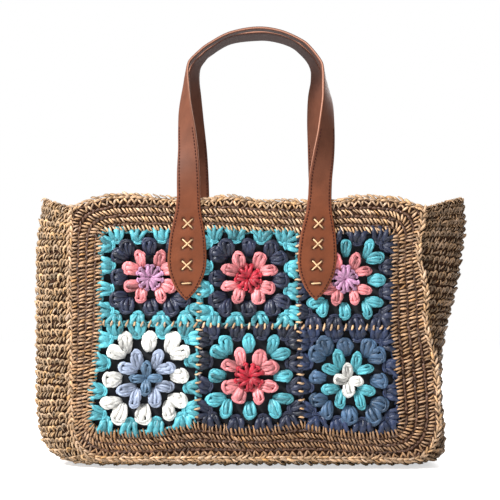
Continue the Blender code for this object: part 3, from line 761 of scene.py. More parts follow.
def braid(name, points, outs, closed, pitch, half, stitches, rise, longer=1.25, base=RAFFIA_TINT):
    """V-shaped strokes in two files along a line of points whose faces look along outs."""
    here, along = spaced(points, pitch, closed)
    facing, _ = spaced(outs, 1.0, closed) if len(outs) > 3 else (None, None)
    if facing is None or len(facing) != len(here):
        share = np.linspace(0, len(outs) - 1, len(here))
        low = share.astype(int)
        facing = np.asarray(outs, float)[low]
    across = np.cross(along, facing)
    across /= np.linalg.norm(across, axis=1, keepdims=True)
    parts = []
    for side in (-1, 1):
        tilt = 25 - 8 * np.abs(along[:, 0]) + rng.normal(0, 9, len(here))
        turn = np.radians(tilt)[:, None]
        direction = along * np.cos(turn) + side * across * np.sin(turn)
        centre = here + side * across * half + facing * (rise + rng.normal(0, 0.3 * MM, (len(here), 1)))
        parts.append((centre + along * side * 0.6 * MM, direction, facing))
    here, up, out = (np.concatenate(part) for part in zip(*parts))
    count = len(here)
    size = np.stack([rng.uniform(1.1, 1.4, count), np.full(count, longer), np.ones(count)], axis=1)
    return scatter(name, stitches, RAFFIA, here, up, out, size, raffia_tints(count, base * 0.9),
                   rng.uniform(0.0, 1.0, count))


def ring_edge(share, side):
    """Points of a ring of the border on the front or the back, and their facings."""
    stations = np.arange(0, len(INNER), 2)
    flip = np.array([1.0, -side, 1.0])
    points = on_front(ring_point(stations, np.full(len(stations), share)), 0.0) * flip
    return points, np.tile((0.0, float(side), 0.0), (len(points), 1))


edge_points, edge_outs = ring_edge(0.99, -1)
dress(braid("front_border_braid", edge_points, edge_outs, True, 0.0062, 1.3 * MM, FRONT_STROKES, 1.0 * MM))


def shell(name, front, back, closed, material, front_tint, back_tint):
    """Closed body between two grids of points, a ring if closed. Each face has its own tint."""
    front, back = np.asarray(front), np.asarray(back)
    rows, columns = front.shape[:2]
    points = np.concatenate([front.reshape(-1, 3), back.reshape(-1, 3)])
    behind = rows * columns
    faces = []
    spans = rows if closed else rows - 1
    for row in range(spans):
        after = (row + 1) % rows
        for column in range(columns - 1):
            a, b = row * columns + column, row * columns + column + 1
            c, d = after * columns + column + 1, after * columns + column
            faces.append((a, b, c, d))
            faces.append((behind + a, behind + d, behind + c, behind + b))
        for column, turned in ((0, False), (columns - 1, True)):
            a, d = row * columns + column, after * columns + column
            edge = (a, d, behind + d, behind + a)
            faces.append(edge[::-1] if turned else edge)
    if not closed:
        for row, turned in ((0, True), (rows - 1, False)):
            for column in range(columns - 1):
                a, b = row * columns + column, row * columns + column + 1
                edge = (a, b, behind + b, behind + a)
                faces.append(edge if not turned else edge[::-1])
    fibre = np.zeros((len(points), 3))
    fibre[:, 0] = points[:, 0] * 100
    fibre[:, 1] = points[:, 2] * 60
    fibre[:, 2] = 0.5
    tint = np.ones((len(points), 4))
    tint[:behind, :3] = front_tint
    tint[behind:, :3] = back_tint
    attributes = (("fibre", "FLOAT_VECTOR", fibre), ("tint", "FLOAT_COLOR", tint),
                  ("shade", "FLOAT", np.full(len(points), 0.5)))
    thing = mesh_object(name, points, faces, attributes, smooth=False)
    thing.data.materials.append(material)
    volume = sum(Vector(points[f[0]]).dot(Vector(points[f[1]]).cross(Vector(points[f[2]])))
                 + Vector(points[f[0]]).dot(Vector(points[f[2]]).cross(Vector(points[f[3]]))) for f in faces)
    if volume < 0:
        thing.data.flip_normals()
    bpy.context.scene.collection.objects.link(thing)
    return thing


def border_shade_ground():
    """Thin dark ring of painted shade behind the border's stitches, its inner face painted at half the raffia
    tint.
    """
    stations = np.arange(0, len(INNER), 5)
    shares = np.linspace(0.06, 1.0, 7)
    grid = np.array([[ring_point(station, share) for share in shares] for station in stations])
    return shell("front_border_ground", on_front(grid, -1.0 * MM), on_front(grid, -4.0 * MM), True,
                 SHADE_GROUND, RAFFIA_SHADE, RAFFIA_TINT * 0.5)


dress(border_shade_ground())

# %% [markdown]
# ## The gusset
# The gusset leaves the seam, bulges to its widest line and comes back to the rear seam. Its rows
# cross it from front to back, and every second one is seen from its wrong side.

# %% Gusset surface


def gusset_surface(places, turns, inside=0.0):
    """Points of the gusset's outer face. turns run from 0 at the front seam to pi at the rear one."""
    places, turns = np.broadcast_arrays(np.asarray(places, float), np.asarray(turns, float))
    seam, middle = seam_points(places)
    reach = -front_y(seam[..., 0], seam[..., 1]) - PANEL_WALL - FIT_GAP
    share = np.minimum(1.0, 1.12 * np.sin(np.clip(turns, 1e-4, math.pi - 1e-4)) ** 0.9)
    xz = seam + (middle - seam) * share[..., None]
    found = np.stack([xz[..., 0], -reach * np.cos(turns), xz[..., 1]], axis=-1)
    if inside:
        found = found - gusset_normals(places, turns) * inside
    return found


def gusset_normals(places, turns):
    """Outward directions of the gusset's face."""
    last = len(SEAM) - 1
    ahead = gusset_surface(np.minimum(places + 0.04, last), turns)
    behind = gusset_surface(np.maximum(places - 0.04, 0), turns)
    over = gusset_surface(places, np.minimum(turns + 0.03, math.pi))
    under = gusset_surface(places, np.maximum(turns - 0.03, 0))
    normal = np.cross(ahead - behind, over - under)
    normal /= np.linalg.norm(normal, axis=-1, keepdims=True)
    centre = np.array([0.0, 0.0, BODY_HEIGHT / 2])
    inward = np.sum(normal * (centre - gusset_surface(places, turns)), axis=-1, keepdims=True) > 0
    return np.where(inward, -normal, normal)


GUSSET_ROW = 0.0071
HOOKED_PITCH = 0.0054
PLACE_STEP = 0.05
CORNER_STROKES = 26


def gusset_rows():
    """Rows of strokes and hooks across the gusset, the floor included."""
    last = len(SEAM) - 1
    fine = np.linspace(0, last, 2400)
    middle = gusset_surface(fine, np.full(len(fine), math.pi / 2))
    lengths = np.concatenate([[0.0], np.cumsum(np.linalg.norm(np.diff(middle, axis=0), axis=1))])
    rows = int(round(lengths[-1] / GUSSET_ROW))
    centres = np.interp((np.arange(rows) + 0.5) * lengths[-1] / rows, lengths, fine)
    parts = {True: [], False: []}
    turns = np.linspace(0.02, math.pi - 0.02, 300)
    for row, centre in enumerate(centres):
        hooked = row % 2 == 1
        upward = 1.0 if row > rows / 2 else -1.0
        line = gusset_surface(np.full(300, centre), turns)
        reach = np.concatenate([[0.0], np.cumsum(np.linalg.norm(np.diff(line, axis=0), axis=1))])
        pitch = HOOKED_PITCH if hooked else PITCH
        count = max(int(round(reach[-1] / pitch)), 3)
        wanted = (np.arange(count) + 0.5 + rng.uniform(-0.2, 0.2, count)) * reach[-1] / count
        at = np.interp(wanted, reach, turns)
        behind, before = max(centre - PLACE_STEP, 0), min(centre + PLACE_STEP, last)
        reached = np.linalg.norm(gusset_surface(before, 1.57) - gusset_surface(behind, 1.57))
        scale = 2 * PLACE_STEP / reached
        shift = rng.normal(0, 0.5, count) + 0.7 * np.sin(at * 2.5 + row * 0.6)
        place = np.clip(centre + shift * MM * scale, 0, last)
        here = gusset_surface(place, at)
        behind, before = np.clip(place - PLACE_STEP, 0, last), np.clip(place + PLACE_STEP, 0, last)
        ahead = gusset_surface(before, at) - gusset_surface(behind, at)
        ahead *= upward / np.linalg.norm(ahead, axis=1, keepdims=True)
        normal = gusset_normals(place, at)
        across = np.cross(ahead, normal)
        lean = np.radians(rng.normal(8, 14, count) if hooked else rng.normal(34, 12, count))[:, None]
        size = np.ones((count, 3))
        size[:, 0] = 1.12
        size[:, 1] = rng.uniform(0.95, 1.2, count) * (1.05 if hooked else 1.0)
        direction = ahead * np.cos(lean) + across * np.sin(lean)
        parts[hooked].append((here, direction, normal, size, np.ones(count)))
        if hooked:
            # Sunk strands under the hooks, painted at 0.55 of the tint as shade.
            turn = np.radians(rng.normal(75, 10, count))[:, None]
            direction = ahead * np.cos(turn) + across * np.sin(turn)
            low = np.tile((1.7, 1.0, 0.7), (count, 1))
            parts[False].append((here - normal * 0.4 * MM, direction, normal, low, np.full(count, 0.55)))
    return {key: tuple(np.concatenate(part) for part in zip(*value)) for key, value in parts.items()}


def make_gusset():
    """The gusset's strokes, the braids on its two rims and its dark ground of painted shade."""
    parts = gusset_rows()
    for hooked, stitches, name, sink in (
        (False, PLAIN_STROKES, "gusset_rows", 2.4 * MM),
        (True, HOOKED_STROKES, "gusset_hooked_rows", 1.9 * MM),
    ):
        points, ups, outs, sizes, painted_shade = parts[hooked]
        # Painted shade: the plain rows, which lie deeper, are painted darker than the hooked rows, and the
        # right gusset, turned away from the key light, darker still.
        tint = raffia_tints(len(points), RAFFIA_TINT * (1.0 if hooked else 0.9) * np.array([0.97, 1.0, 0.98]))
        away = np.clip((points[:, 0] - 0.15) / 0.04, 0, 1)[:, None]
        tint = tint * painted_shade[:, None] * (1 - away * np.array([0.50, 0.54, 0.56])) * 0.88
        piece = scatter(name, stitches, RAFFIA, points - outs * sink, ups, outs, sizes, tint,
                        rng.uniform(0.0, 1.0, len(points)))
        dress(piece, "gusset")
    last = len(SEAM) - 1
    turns = np.linspace(0.0, math.pi, 60)
    for place, name in ((0.03, "gusset_left_braid"), (last - 0.03, "gusset_right_braid")):
        line = gusset_surface(np.full(60, place), turns, 2.2 * MM)
        ends = line[[0, -1]] + np.array([[0.0, -PANEL_WALL, 0.0], [0.0, PANEL_WALL, 0.0]])
        line = np.concatenate([ends[:1], line, ends[1:]])
        outs = np.tile((0.0, 0.0, 1.0), (62, 1))
        dress(braid(name, line, outs, False, 0.0058, 1.2 * MM, PLAIN_STROKES, 0.3 * MM))
    inside = []
    for place in np.concatenate([np.linspace(0.10, 0.95, 4), last - np.linspace(0.10, 1.0, 4)]):
        line = gusset_surface(np.full(60, place), turns, GUSSET_WALL)
        xyz, along = spaced(line, PITCH * 1.05, False)
        at = np.linspace(0.05, math.pi - 0.05, len(xyz))
        normal = gusset_normals(np.full(len(xyz), place), at)
        up = np.cross(normal, along) + rng.normal(0, 0.2, xyz.shape)
        inside.append((xyz + normal * 0.6 * MM, up, -normal))
    for place in (PLACE_STEP, last - PLACE_STEP):
        for side in (-1, 1):
            corner = gusset_surface(place, 0.0 if side < 0 else math.pi)
            spot = rng.uniform(-1, 1, (CORNER_STROKES, 3)) * np.array([2.2, 3.0, 9.0]) * MM + corner
            spot[:, 1] += side * 1.5 * MM
            spot[:, 2] -= 7.0 * MM
            inward = -1.0 if place > 1 else 1.0
            look = np.tile((inward, -side * 0.7, 0.5), (CORNER_STROKES, 1))
            lie = np.tile((0.3, 0.6 * side, 1.0), (CORNER_STROKES, 1))
            inside.append((spot, lie + rng.normal(0, 0.3, (CORNER_STROKES, 3)), look))
    points, ups, outs = (np.concatenate(part) for part in zip(*inside))
    piece = scatter("gusset_inside_rows", PLAIN_STROKES, RAFFIA, points, ups, outs, (1.0, 0.85, 0.9),
                    raffia_tints(len(points), RAFFIA_TINT * 0.9), rng.uniform(0.1, 0.9, len(points)))
    dress(piece)
    places = even_places(SEAM, 0, last, 110)
    turns = np.linspace(0.0, math.pi, 15)
    place_grid, turn_grid = np.meshgrid(places, turns, indexing="ij")
    outer = gusset_surface(place_grid, turn_grid, 2.9 * MM)
    inner = gusset_surface(place_grid, turn_grid, GUSSET_WALL + 0.3 * MM)
    shade_ground = shell("gusset_ground", outer, inner, False, SHADE_GROUND, RAFFIA_SHADE, RAFFIA_TINT * 0.5)
    dress(shade_ground)


make_gusset()

# %% [markdown]
# ## The back
# The back is hidden in the photograph, so it is plain rows of raffia from the floor to the rim.

# %% Back rows


def outline_span(z):
    """Left and right edge of the panel at a height."""
    left = OUTER[:180]
    right = OUTER[300:420]
    left_x = np.interp(-z, -left[:120, 1], left[:120, 0])
    right_x = np.interp(z, right[:, 1], right[:, 0])
    if z < left[119, 1]:
        left_x = np.interp(-z, -left[60:, 1], left[60:, 0])
    return left_x, right_x


def rim_height(x):
    """Height of the rim over a place."""
    rim = curve(RIM, np.linspace(0, len(RIM) - 1, 200)) * (BODY_WIDTH, BODY_HEIGHT)
    return np.interp(x, rim[:, 0], rim[:, 1])


def make_back():
    """Rows of the back panel, the inner rows by both rims, the back's braid and its dark ground of painted
    shade.
    """
    rows = 32
    bottom, top = 0.012, BODY_HEIGHT * 0.955
    height = (top - bottom) / (rows - 1)
    parts = []
    for row in range(rows):
        level = bottom + row * height
        left, right = outline_span(max(level, 0.014))
        level_line = np.stack([np.linspace(left, right, 100), np.full(100, level)], axis=1)
        xz, _ = spaced(level_line, PITCH, False)
        share = row / (rows - 1)
        xz[:, 1] += (rim_height(xz[:, 0]) - BODY_HEIGHT * 0.98) * share**3
        xz[:, 1] += 0.0005 * np.sin(xz[:, 0] * 40 + row) + rng.normal(0, 0.25, len(xz)) * MM
        lean = np.radians(-34 + rng.normal(0, 6, len(xz)))
        direction = np.stack([np.sin(lean), np.cos(lean)], axis=1)
        here, up, out = front_strokes(xz, direction, 0.0, 1)
        size = np.stack([np.ones(len(xz)), np.full(len(xz), 0.88), rng.uniform(0.85, 1.15, len(xz))], axis=1)
        parts.append((here, up, out, size))
    here, up, out, size = (np.concatenate(part) for part in zip(*parts))
    piece = scatter("back_panel_rows", PLAIN_STROKES, RAFFIA, here, up, out, size,
                    raffia_tints(len(here), RAFFIA_TINT * 0.96), rng.uniform(0.0, 1.0, len(here)))
    dress(piece, "back_panel")
    for side, slot in ((-1, "raffia"), (1, "back_raffia")):
        parts = []
        for below in (0.0045, 0.0125, 0.0205):
            x = np.linspace(-0.176, 0.170, 150)
            xz, _ = spaced(np.stack([x, rim_height(x) - below], axis=1), PITCH, False)
            direction = np.stack([rng.normal(0.55, 0.1, len(xz)), np.ones(len(xz))], axis=1)
            here, up, out = front_strokes(xz, direction, -PANEL_WALL + 0.6 * MM, side)
            parts.append((here, up, -out))
        here, up, out = (np.concatenate(part) for part in zip(*parts))
        name = "front_border_inside_rows" if side < 0 else "back_panel_inside_rows"
        piece = scatter(name, PLAIN_STROKES, RAFFIA, here, up, out, (1.0, 0.9, 0.9),
                        raffia_tints(len(here), RAFFIA_TINT * 0.9), rng.uniform(0.1, 0.9, len(here)))
        dress(piece)
    points, outs = ring_edge(0.99, 1)
    dress(braid("back_panel_braid", points, outs, True, 0.0062, 1.3 * MM, PLAIN_STROKES, 0.8 * MM))
    flip = np.array([1.0, -1.0, 1.0])
    centre = np.array([0.0, BODY_HEIGHT * 0.5])
    stations = np.arange(0, len(OUTER), 5)
    grid = np.array([[centre + (OUTER[station] - centre) * share for share in np.linspace(0.02, 1.0, 8)]
                     for station in stations])
    shade_ground = shell("back_panel_ground", on_front(grid, -1.6 * MM) * flip, on_front(grid, -4.0 * MM) * flip,
                   True, SHADE_GROUND, RAFFIA_SHADE, RAFFIA_TINT * 0.5)
    dress(shade_ground)


make_back()

# %% [markdown]
# ## The six squares
# A square grows in four rounds of stitch groups. Each group of the inner rounds closes into a petal
# with a small chain on top, and each group of the last round opens like a fan.

# %% Petals, fans and spokes


def post_strands(foot, middle, top, wide, steps, spin):
    """Two strands twisted round the line of one tall stitch."""
    share = np.linspace(0, 1, steps)
    line = curve((foot, middle, top), share * 2)
    turn = spin * math.pi * (share - 0.1)
    lines = []
    for side in (-1, 1):
        offset = np.stack([np.cos(turn), 0 * turn, 0.7 * np.sin(turn)], axis=1) * side
        spread = (0.4 + 0.6 * np.sin(math.pi * share**0.8))[:, None]
        lines.append(line + offset * spread * wide * 0.75 + wobble(steps, 0.20 * MM))
    return lines


def uneven(count, steps, wide):
    """Radii of strands that swell in the middle and are pinched at random."""
    pinch = 1 + 0.13 * rng.normal(0, 1, (count, steps))
    return swelling(steps, 0.62, 1.0) * np.clip(pinch, 0.75, 1.3) * wide


def petal(steps=8, sides=7):
    """Three tall stitches from one foot, closed by a chain over their tops."""
    lines, wides = [], []
    for post in (-1, 0, 1):
        jitter = rng.uniform(-0.7, 0.7, 6)
        foot = np.array([post * 1.2, -0.8, -2.6]) * MM
        height = 2.2 - 0.4 * abs(post) + jitter[4] * 0.5
        middle = np.array([post * 3.7 + jitter[0], 8.2 + jitter[1], height]) * MM
        top = np.array([post * 3.0 + jitter[2] * 0.6, 14.6 - 2.6 * abs(post) + jitter[3] * 0.6, 0.4]) * MM
        wide = rng.uniform(1.5, 1.95) * MM
        lines += post_strands(foot, middle, top, wide, steps, rng.uniform(0.4, 1.2) * rng.choice((-1, 1)))
        wides.append(uneven(2, steps, wide))
    wides = np.concatenate(wides)
    parts = [tubes(lines, wides, wides * 0.72, (0, 0, 1), sides, FOLDS)]
    share = np.linspace(0, 1, 10)
    turn = np.radians(186 - 192 * share)
    arcs, thick = [], []
    for radius, lift, size in ((5.0, 0.9, 1.35), (3.9, 2.1, 1.15)):
        swing = 0.35 * np.sin(share * math.pi * 3 + rng.uniform(0, 6))
        reach = (radius + swing) * MM
        x, y = np.cos(turn) * reach, 10.4 * MM + np.sin(turn) * reach
        line = np.stack([x, y, np.full(10, lift * MM)], axis=1)
        line[:, 2] += 0.5 * MM * np.sin(share * math.pi * 3 + rng.uniform(0, 6))
        arcs.append(line + wobble(10, 0.25 * MM))
        thick.append(uneven(1, 10, size * MM)[0])
    thick = np.array(thick)
    parts.append(tubes(arcs, thick, thick * 0.8, (0, 0, 1), 7, FOLDS))
    return strand_object("petal", parts)


def fan(steps=8, sides=7):
    """Three tall stitches that open from one foot and end under the border."""
    lines, wides = [], []
    for post in (-1, 0, 1):
        jitter = rng.uniform(-0.8, 0.8, 6)
        foot = np.array([post * 1.5, -0.4, -1.6]) * MM
        middle = np.array([post * 3.6 + jitter[0], 8.0 + jitter[1], 2.2]) * MM
        top = np.array([post * 5.9 + jitter[2], 17.4 - abs(post) + jitter[3], -0.2]) * MM
        wide = rng.uniform(1.45, 1.9) * MM
        lines += post_strands(foot, middle, top, wide, steps, rng.uniform(0.6, 1.3) * rng.choice((-1, 1)))
        wides.append(uneven(2, steps, wide))
    wides = np.concatenate(wides)
    base = []
    for side in (-1, 1):
        share = np.linspace(0, 1, 6)
        y = 0.8 + side * 0.9 - 2.2 * np.sin(math.pi * share)
        line = np.stack([(share - 0.5) * 6.4, y, np.full(6, 0.5)], axis=1)
        base.append(line * MM + wobble(6, 0.2 * MM))
    parts = [tubes(lines, wides, wides * 0.75, (0, 0, 1), sides, FOLDS)]
    parts.append(tubes(base, 1.1 * MM, 0.9 * MM, (0, 0, 1), 6))
    return strand_object("fan", parts)


def spoke(steps=7, sides=7):
    """One tall stitch of the first round."""
    jitter = rng.uniform(-0.4, 0.4, 3)
    foot = np.array([0.0, 0.0, -1.4]) * MM
    middle = np.array([jitter[0], 5.2, 1.6 + jitter[1]]) * MM
    top = np.array([jitter[2], 10.4, 0.2]) * MM
    wide = rng.uniform(1.4, 1.75) * MM
    lines = post_strands(foot, middle, top, wide, steps, rng.uniform(0.5, 1.2) * rng.choice((-1, 1)))
    wides = uneven(2, steps, wide)
    heights = np.array([9.2, 10.4, 10.8, 10.4, 9.2])
    cap = np.stack([np.linspace(-1.9, 1.9, 5), heights, np.full(5, 1.2)], axis=1) * MM
    parts = [tubes(lines, wides, wides * 0.75, (0, 0, 1), sides, FOLDS)]
    parts.append(tubes([cap], 1.0 * MM, 0.85 * MM, (0, 0, 1), 6))
    return strand_object("spoke", parts)


PETALS = stitch_collection("Petal", [petal() for _ in range(12)])
FANS = stitch_collection("Fan", [fan() for _ in range(12)])
SPOKES = stitch_collection("Spoke", [spoke() for _ in range(8)])
PETAL_SIZE = (0.0150, 0.0178)
SPOKE_LENGTH = 0.0110

# %% Rounds and colours of the squares
TURQUOISE = linear(84, 168, 180)
NAVY = linear(34, 40, 62)
WHITE = linear(236, 234, 228)
PINK = linear(226, 134, 138)
RED = linear(176, 34, 52)
LILAC = linear(180, 130, 164)
DENIM = linear(84, 112, 138)
PALE_BLUE = linear(158, 170, 194)
SLATE = linear(66, 92, 120)
NAVY_BLUE = linear(38, 50, 80)

# Columns: row, column, groups in the middle, widths of the rounds, colours of the rounds from the middle out.
SQUARES = (
    ("top_left", 1, 0, 12, (1.0, 0.94, 1.08, 1.0), (LILAC, PINK, NAVY, TURQUOISE)),
    ("top_middle", 1, 1, 12, (1.0, 0.94, 1.08, 1.0), (RED, PINK, NAVY, TURQUOISE)),
    ("top_right", 1, 2, 12, (1.0, 0.90, 0.80, 1.1), (LILAC, PINK, TURQUOISE, NAVY)),
    ("bottom_left", 0, 0, 4, (1.0, 0.90, 0.96, 1.0), (DENIM, PALE_BLUE, WHITE, TURQUOISE)),
    ("bottom_middle", 0, 1, 12, (1.0, 0.96, 0.84, 1.1), (RED, PINK, TURQUOISE, NAVY)),
    ("bottom_right", 0, 2, 4, (1.25, 0.84, 1.12, 1.15), (WHITE, TURQUOISE, SLATE, NAVY_BLUE)),
)

# Groups of one quarter. Columns: round, foot x, foot y, top x, top y, width, as shares of half a square.
QUARTER = (
    (1, 0.15, 0.20, 0.23, 0.58, 0.34),
    (1, 0.20, 0.15, 0.58, 0.23, 0.34),
    (2, 0.00, 0.49, 0.00, 0.86, 0.39),
    (2, 0.42, 0.46, 0.51, 0.85, 0.38),
    (2, 0.46, 0.42, 0.85, 0.51, 0.38),
    (3, -0.25, 0.76, -0.25, 1.07, 0.42),
    (3, 0.25, 0.76, 0.25, 1.07, 0.42),
    (3, 0.70, 0.76, 0.72, 1.08, 0.42),
    (3, 0.76, 0.70, 1.08, 0.72, 0.42),
)
CENTRE_PETAL = (0, 0.00, 0.03, 0.00, 0.345, 0.25)
SPOKE_TOP = 0.285
EDGE_PITCH = 0.0052


def square_groups(middle, factors):
    """Feet, tops, widths and rounds of a square's groups, as shares of half a square."""
    feet, tops, widths, rounds = [], [], [], []
    for quarter in range(4):
        turn = quarter * math.pi / 2
        cosine, sine = math.cos(turn), math.sin(turn)
        groups = list(QUARTER)
        if middle == 4:
            groups.append(CENTRE_PETAL)
        spokes = middle // 4 if middle > 4 else 0
        for spoke_number in range(spokes):
            angle = (spoke_number + 0.5) / spokes * math.pi / 2 + rng.normal(0, 0.05)
            reach = SPOKE_TOP * rng.uniform(0.9, 1.08)
            groups.append((0, 0.02 * math.cos(angle), 0.02 * math.sin(angle),
                           reach * math.cos(angle), reach * math.sin(angle), 0.30))
        for group in groups:
            shift = rng.normal(0, 0.020 if group[0] else 0.004, 2)
            foot = np.array(group[1:3]) + shift * 0.5
            top = np.array(group[3:5]) + shift
            feet.append((cosine * foot[0] - sine * foot[1], sine * foot[0] + cosine * foot[1]))
            tops.append((cosine * top[0] - sine * top[1], sine * top[0] + cosine * top[1]))
            widths.append(group[5] * rng.uniform(0.88, 1.12) * factors[group[0]])
            rounds.append(group[0])
    return np.array(feet), np.array(tops), np.array(widths), np.array(rounds)


def make_square(name, row, column, middle, factors, colours):
    """Stitch groups of one square and the chain round it."""
    feet, tops, widths, rounds = square_groups(middle, factors)
    feet, tops = feet / 2 + 0.5, tops / 2 + 0.5
    rise = np.array([0.2, -0.4, -0.8, -1.0])[rounds] * MM
    lift = np.stack([0 * rise, rise, 0 * rise], axis=1)
    here = on_front(square_xz(row, column, feet[:, 0], feet[:, 1])) - lift
    there = on_front(square_xz(row, column, tops[:, 0], tops[:, 1])) - lift
    length = np.linalg.norm(there - here, axis=1)
    half = np.linalg.norm(square_xz(row, column, 1, 0.5) - square_xz(row, column, 0, 0.5)) / 2
    size = np.stack([widths * half / PETAL_SIZE[0], length / PETAL_SIZE[1], np.ones(len(widths))], axis=1)
    spokes = (rounds == 0) & (middle > 4)
    size[spokes] = (1.15, 1.0, 1.0)
    size[spokes, 1] = length[spokes] / SPOKE_LENGTH
    tint = np.array(colours)[rounds] * rng.uniform(0.86, 1.12, (len(widths), 1))
    out = np.tile((0.0, -1.0, 0.0), (len(widths), 1))
    shade = rng.uniform(0.2, 0.8, len(widths))
    petals = (rounds < 3) & ~spokes
    kinds = ((spokes, SPOKES, "spokes"), (petals, PETALS, "petals"), (rounds == 3, FANS, "fans"))
    for chosen, stitches, label in kinds:
        if not chosen.any():
            continue
        piece = scatter(f"square_{name}_{label}", stitches, YARN, here[chosen], (there - here)[chosen],
                        out[chosen], size[chosen], tint[chosen], shade[chosen])
        dress(piece, f"square_{name}")
    edge = np.linspace(0, 1, 30, endpoint=False)
    low, high = np.full(30, 0.015), np.full(30, 0.985)
    across = np.concatenate([edge, high, 1 - edge, low])
    up = np.concatenate([low, edge, high, 1 - edge])
    line = on_front(square_xz(row, column, across, up))
    xyz, along = spaced(line, EDGE_PITCH)
    direction = along + rng.normal(0, 0.22, along.shape)
    outs = np.tile((0.0, -1.0, 0.0), (len(xyz), 1))
    piece = scatter(f"square_{name}_edge", FRONT_STROKES, YARN, xyz - outs * 0.6 * MM, direction, outs,
                    (1.35, 0.95, 0.8), np.array(colours[3]) * 0.9, rng.uniform(0.1, 0.7, len(xyz)))
    dress(piece)


for square in SQUARES:
    make_square(*square)
print("squares:", len(SQUARES))

# %% [markdown]
# ## Seams between the squares
# Raffia whip stitches cross each seam between two squares.

# %% Whip stitches


def whip_stitch():
    """One strand laid over a seam."""
    line = stroke_line(rng.uniform(6.2, 7.6) * MM, 4.0 * MM, 8)
    wide = swelling(8, 0.6, 1.05) * MM
    return strand_object("whip", [tubes([line], wide, wide * 0.8, (0, 0, 1), 7)])


WHIPS = stitch_collection("Whip stitch", [whip_stitch() for _ in range(6)])


def make_whips():
    """Whip stitches along the level seam and both upright seams."""
    here, up = [], []
    for column in range(3):
        along = np.linspace(0.04, 0.96, 13)
        xz = square_xz(0, column, along, np.ones(13))
        here.append(on_front(xz, 0.9 * MM))
        up.append(np.tile((0.25, 0.0, 1.0), (13, 1)))
    for row in range(2):
        for column in (1, 2):
            along = np.linspace(0.05, 0.95, 11)
            xz = square_xz(row, column, np.zeros(11), along)
            here.append(on_front(xz, 0.9 * MM))
            up.append(np.tile((1.0, 0.0, 0.12), (11, 1)))
    here, up = np.concatenate(here), np.concatenate(up)
    up = up + rng.normal(0, 0.16, up.shape)
    out = np.tile((0.0, -1.0, 0.0), (len(here), 1))
    size = np.stack([np.ones(len(here)), rng.uniform(0.85, 1.15, len(here)), np.ones(len(here))], axis=1)
    return scatter("seam_whips", WHIPS, RAFFIA, here, up, out, size, raffia_tints(len(here)),
                   rng.uniform(0.5, 1.0, len(here)))


dress(make_whips())

# %% [markdown]
# ## Handles
# Each handle is one strap of leather. It lies flat on the panel as a leaf, rises over the rim,
# turns a quarter round on its way up and meets its partner at the arch.

# %% Handle tables
STRAP_WIDTH = 0.0236
STRAP_THICKNESS = 0.003
LEAF_WIDTH = 0.039
LEAF_LENGTH = 0.106
HANDLE_SPREAD = 0.140
HANDLE_RISE = 0.179
ARCH_SETBACK = 0.014

# Columns: share of the leaf's length from its tip, leaf width share, strap width share.
LEAF = (
    (0.00, 0.06, 0.00), (0.04, 0.28, 0.00), (0.10, 0.54, 0.00), (0.17, 0.74, 0.00),
    (0.26, 0.92, 0.00), (0.36, 1.00, 0.00), (0.46, 0.96, 0.04), (0.61, 0.77, 0.23),
    (0.75, 0.40, 0.60), (0.85, 0.13, 0.87), (1.00, 0.00, 1.00),
)
# Columns: x, height over the rim, way back to the arch, twist in degrees.
FRONT_PATH = (
    (-0.448, 0.000, 0.000, 0), (-0.451, 0.128, 0.020, 12), (-0.454, 0.257, 0.100, 30),
    (-0.466, 0.374, 0.220, 43), (-0.480, 0.497, 0.390, 58), (-0.481, 0.620, 0.580, 74),
    (-0.474, 0.726, 0.780, 86), (-0.446, 0.793, 0.910, 90), (-0.376, 0.856, 0.980, 90),
    (-0.302, 0.901, 1.000, 90), (-0.154, 0.961, 1.000, 90), (0.043, 0.989, 1.000, 90),
    (0.214, 0.972, 1.000, 90), (0.363, 0.922, 1.000, 90), (0.438, 0.873, 0.980, 90),
    (0.513, 0.788, 0.910, 90), (0.539, 0.709, 0.780, 86), (0.552, 0.620, 0.580, 74),
    (0.559, 0.531, 0.440, 62), (0.551, 0.419, 0.270, 50), (0.540, 0.318, 0.160, 38),
    (0.521, 0.207, 0.060, 22), (0.501, 0.095, 0.010, 8), (0.495, 0.000, 0.000, 0),
)
REAR_PATH = (
    (-0.411, 0.000, 0.000, 0), (-0.414, 0.128, 0.040, 10),
    (-0.419, 0.285, 0.120, 25), (-0.425, 0.402, 0.250, 38),
    (-0.434, 0.525, 0.420, 48), (-0.443, 0.642, 0.640, 54),
    (-0.448, 0.726, 0.820, 60), (-0.424, 0.812, 0.930, 74),
    (-0.370, 0.863, 0.980, 86), (-0.316, 0.899, 1.000, 90),
    (-0.160, 0.970, 1.000, 90), (0.050, 0.992, 1.000, 90),
    (0.179, 0.985, 1.000, 90), (0.306, 0.954, 1.000, 90),
    (0.389, 0.907, 1.000, 88), (0.460, 0.850, 0.980, 81),
    (0.500, 0.790, 0.930, 72), (0.513, 0.728, 0.820, 60),
    (0.501, 0.642, 0.640, 55), (0.504, 0.520, 0.420, 46),
    (0.520, 0.374, 0.220, 32), (0.534, 0.218, 0.080, 16),
    (0.541, 0.106, 0.010, 4), (0.543, 0.000, 0.000, 0),
)
# Heights of the cross stitches on a leaf, from its tip, and of the bar below them.
CROSS_HEIGHTS = (0.0345, 0.0560, 0.0765)
BAR_HEIGHT = 0.0165


def rest_y(x, z):
    """Depth of the middle of a strap that lies on the front."""
    return front_y(x, np.minimum(z, BODY_HEIGHT)) - REST_RISE - FIT_GAP - STRAP_THICKNESS / 2


LEAF_STATIONS = 140


def leaf_line(rim_x, lean, count):
    """Centres and widths of a leaf from its tip up to the rim."""
    share = np.linspace(0, 1, count, endpoint=False) ** 1.15
    heights = np.array(LEAF)[:, 0]
    row = np.interp(share, heights, np.arange(len(LEAF)))
    shape = curve(LEAF, row)
    width = shape[:, 1] * LEAF_WIDTH + shape[:, 2] * STRAP_WIDTH
    z = BODY_HEIGHT - LEAF_LENGTH * (1 - share)
    x = rim_x - lean * HANDLE_SPREAD * (1 - share)
    return np.stack([x, rest_y(x, z), z], axis=1), width


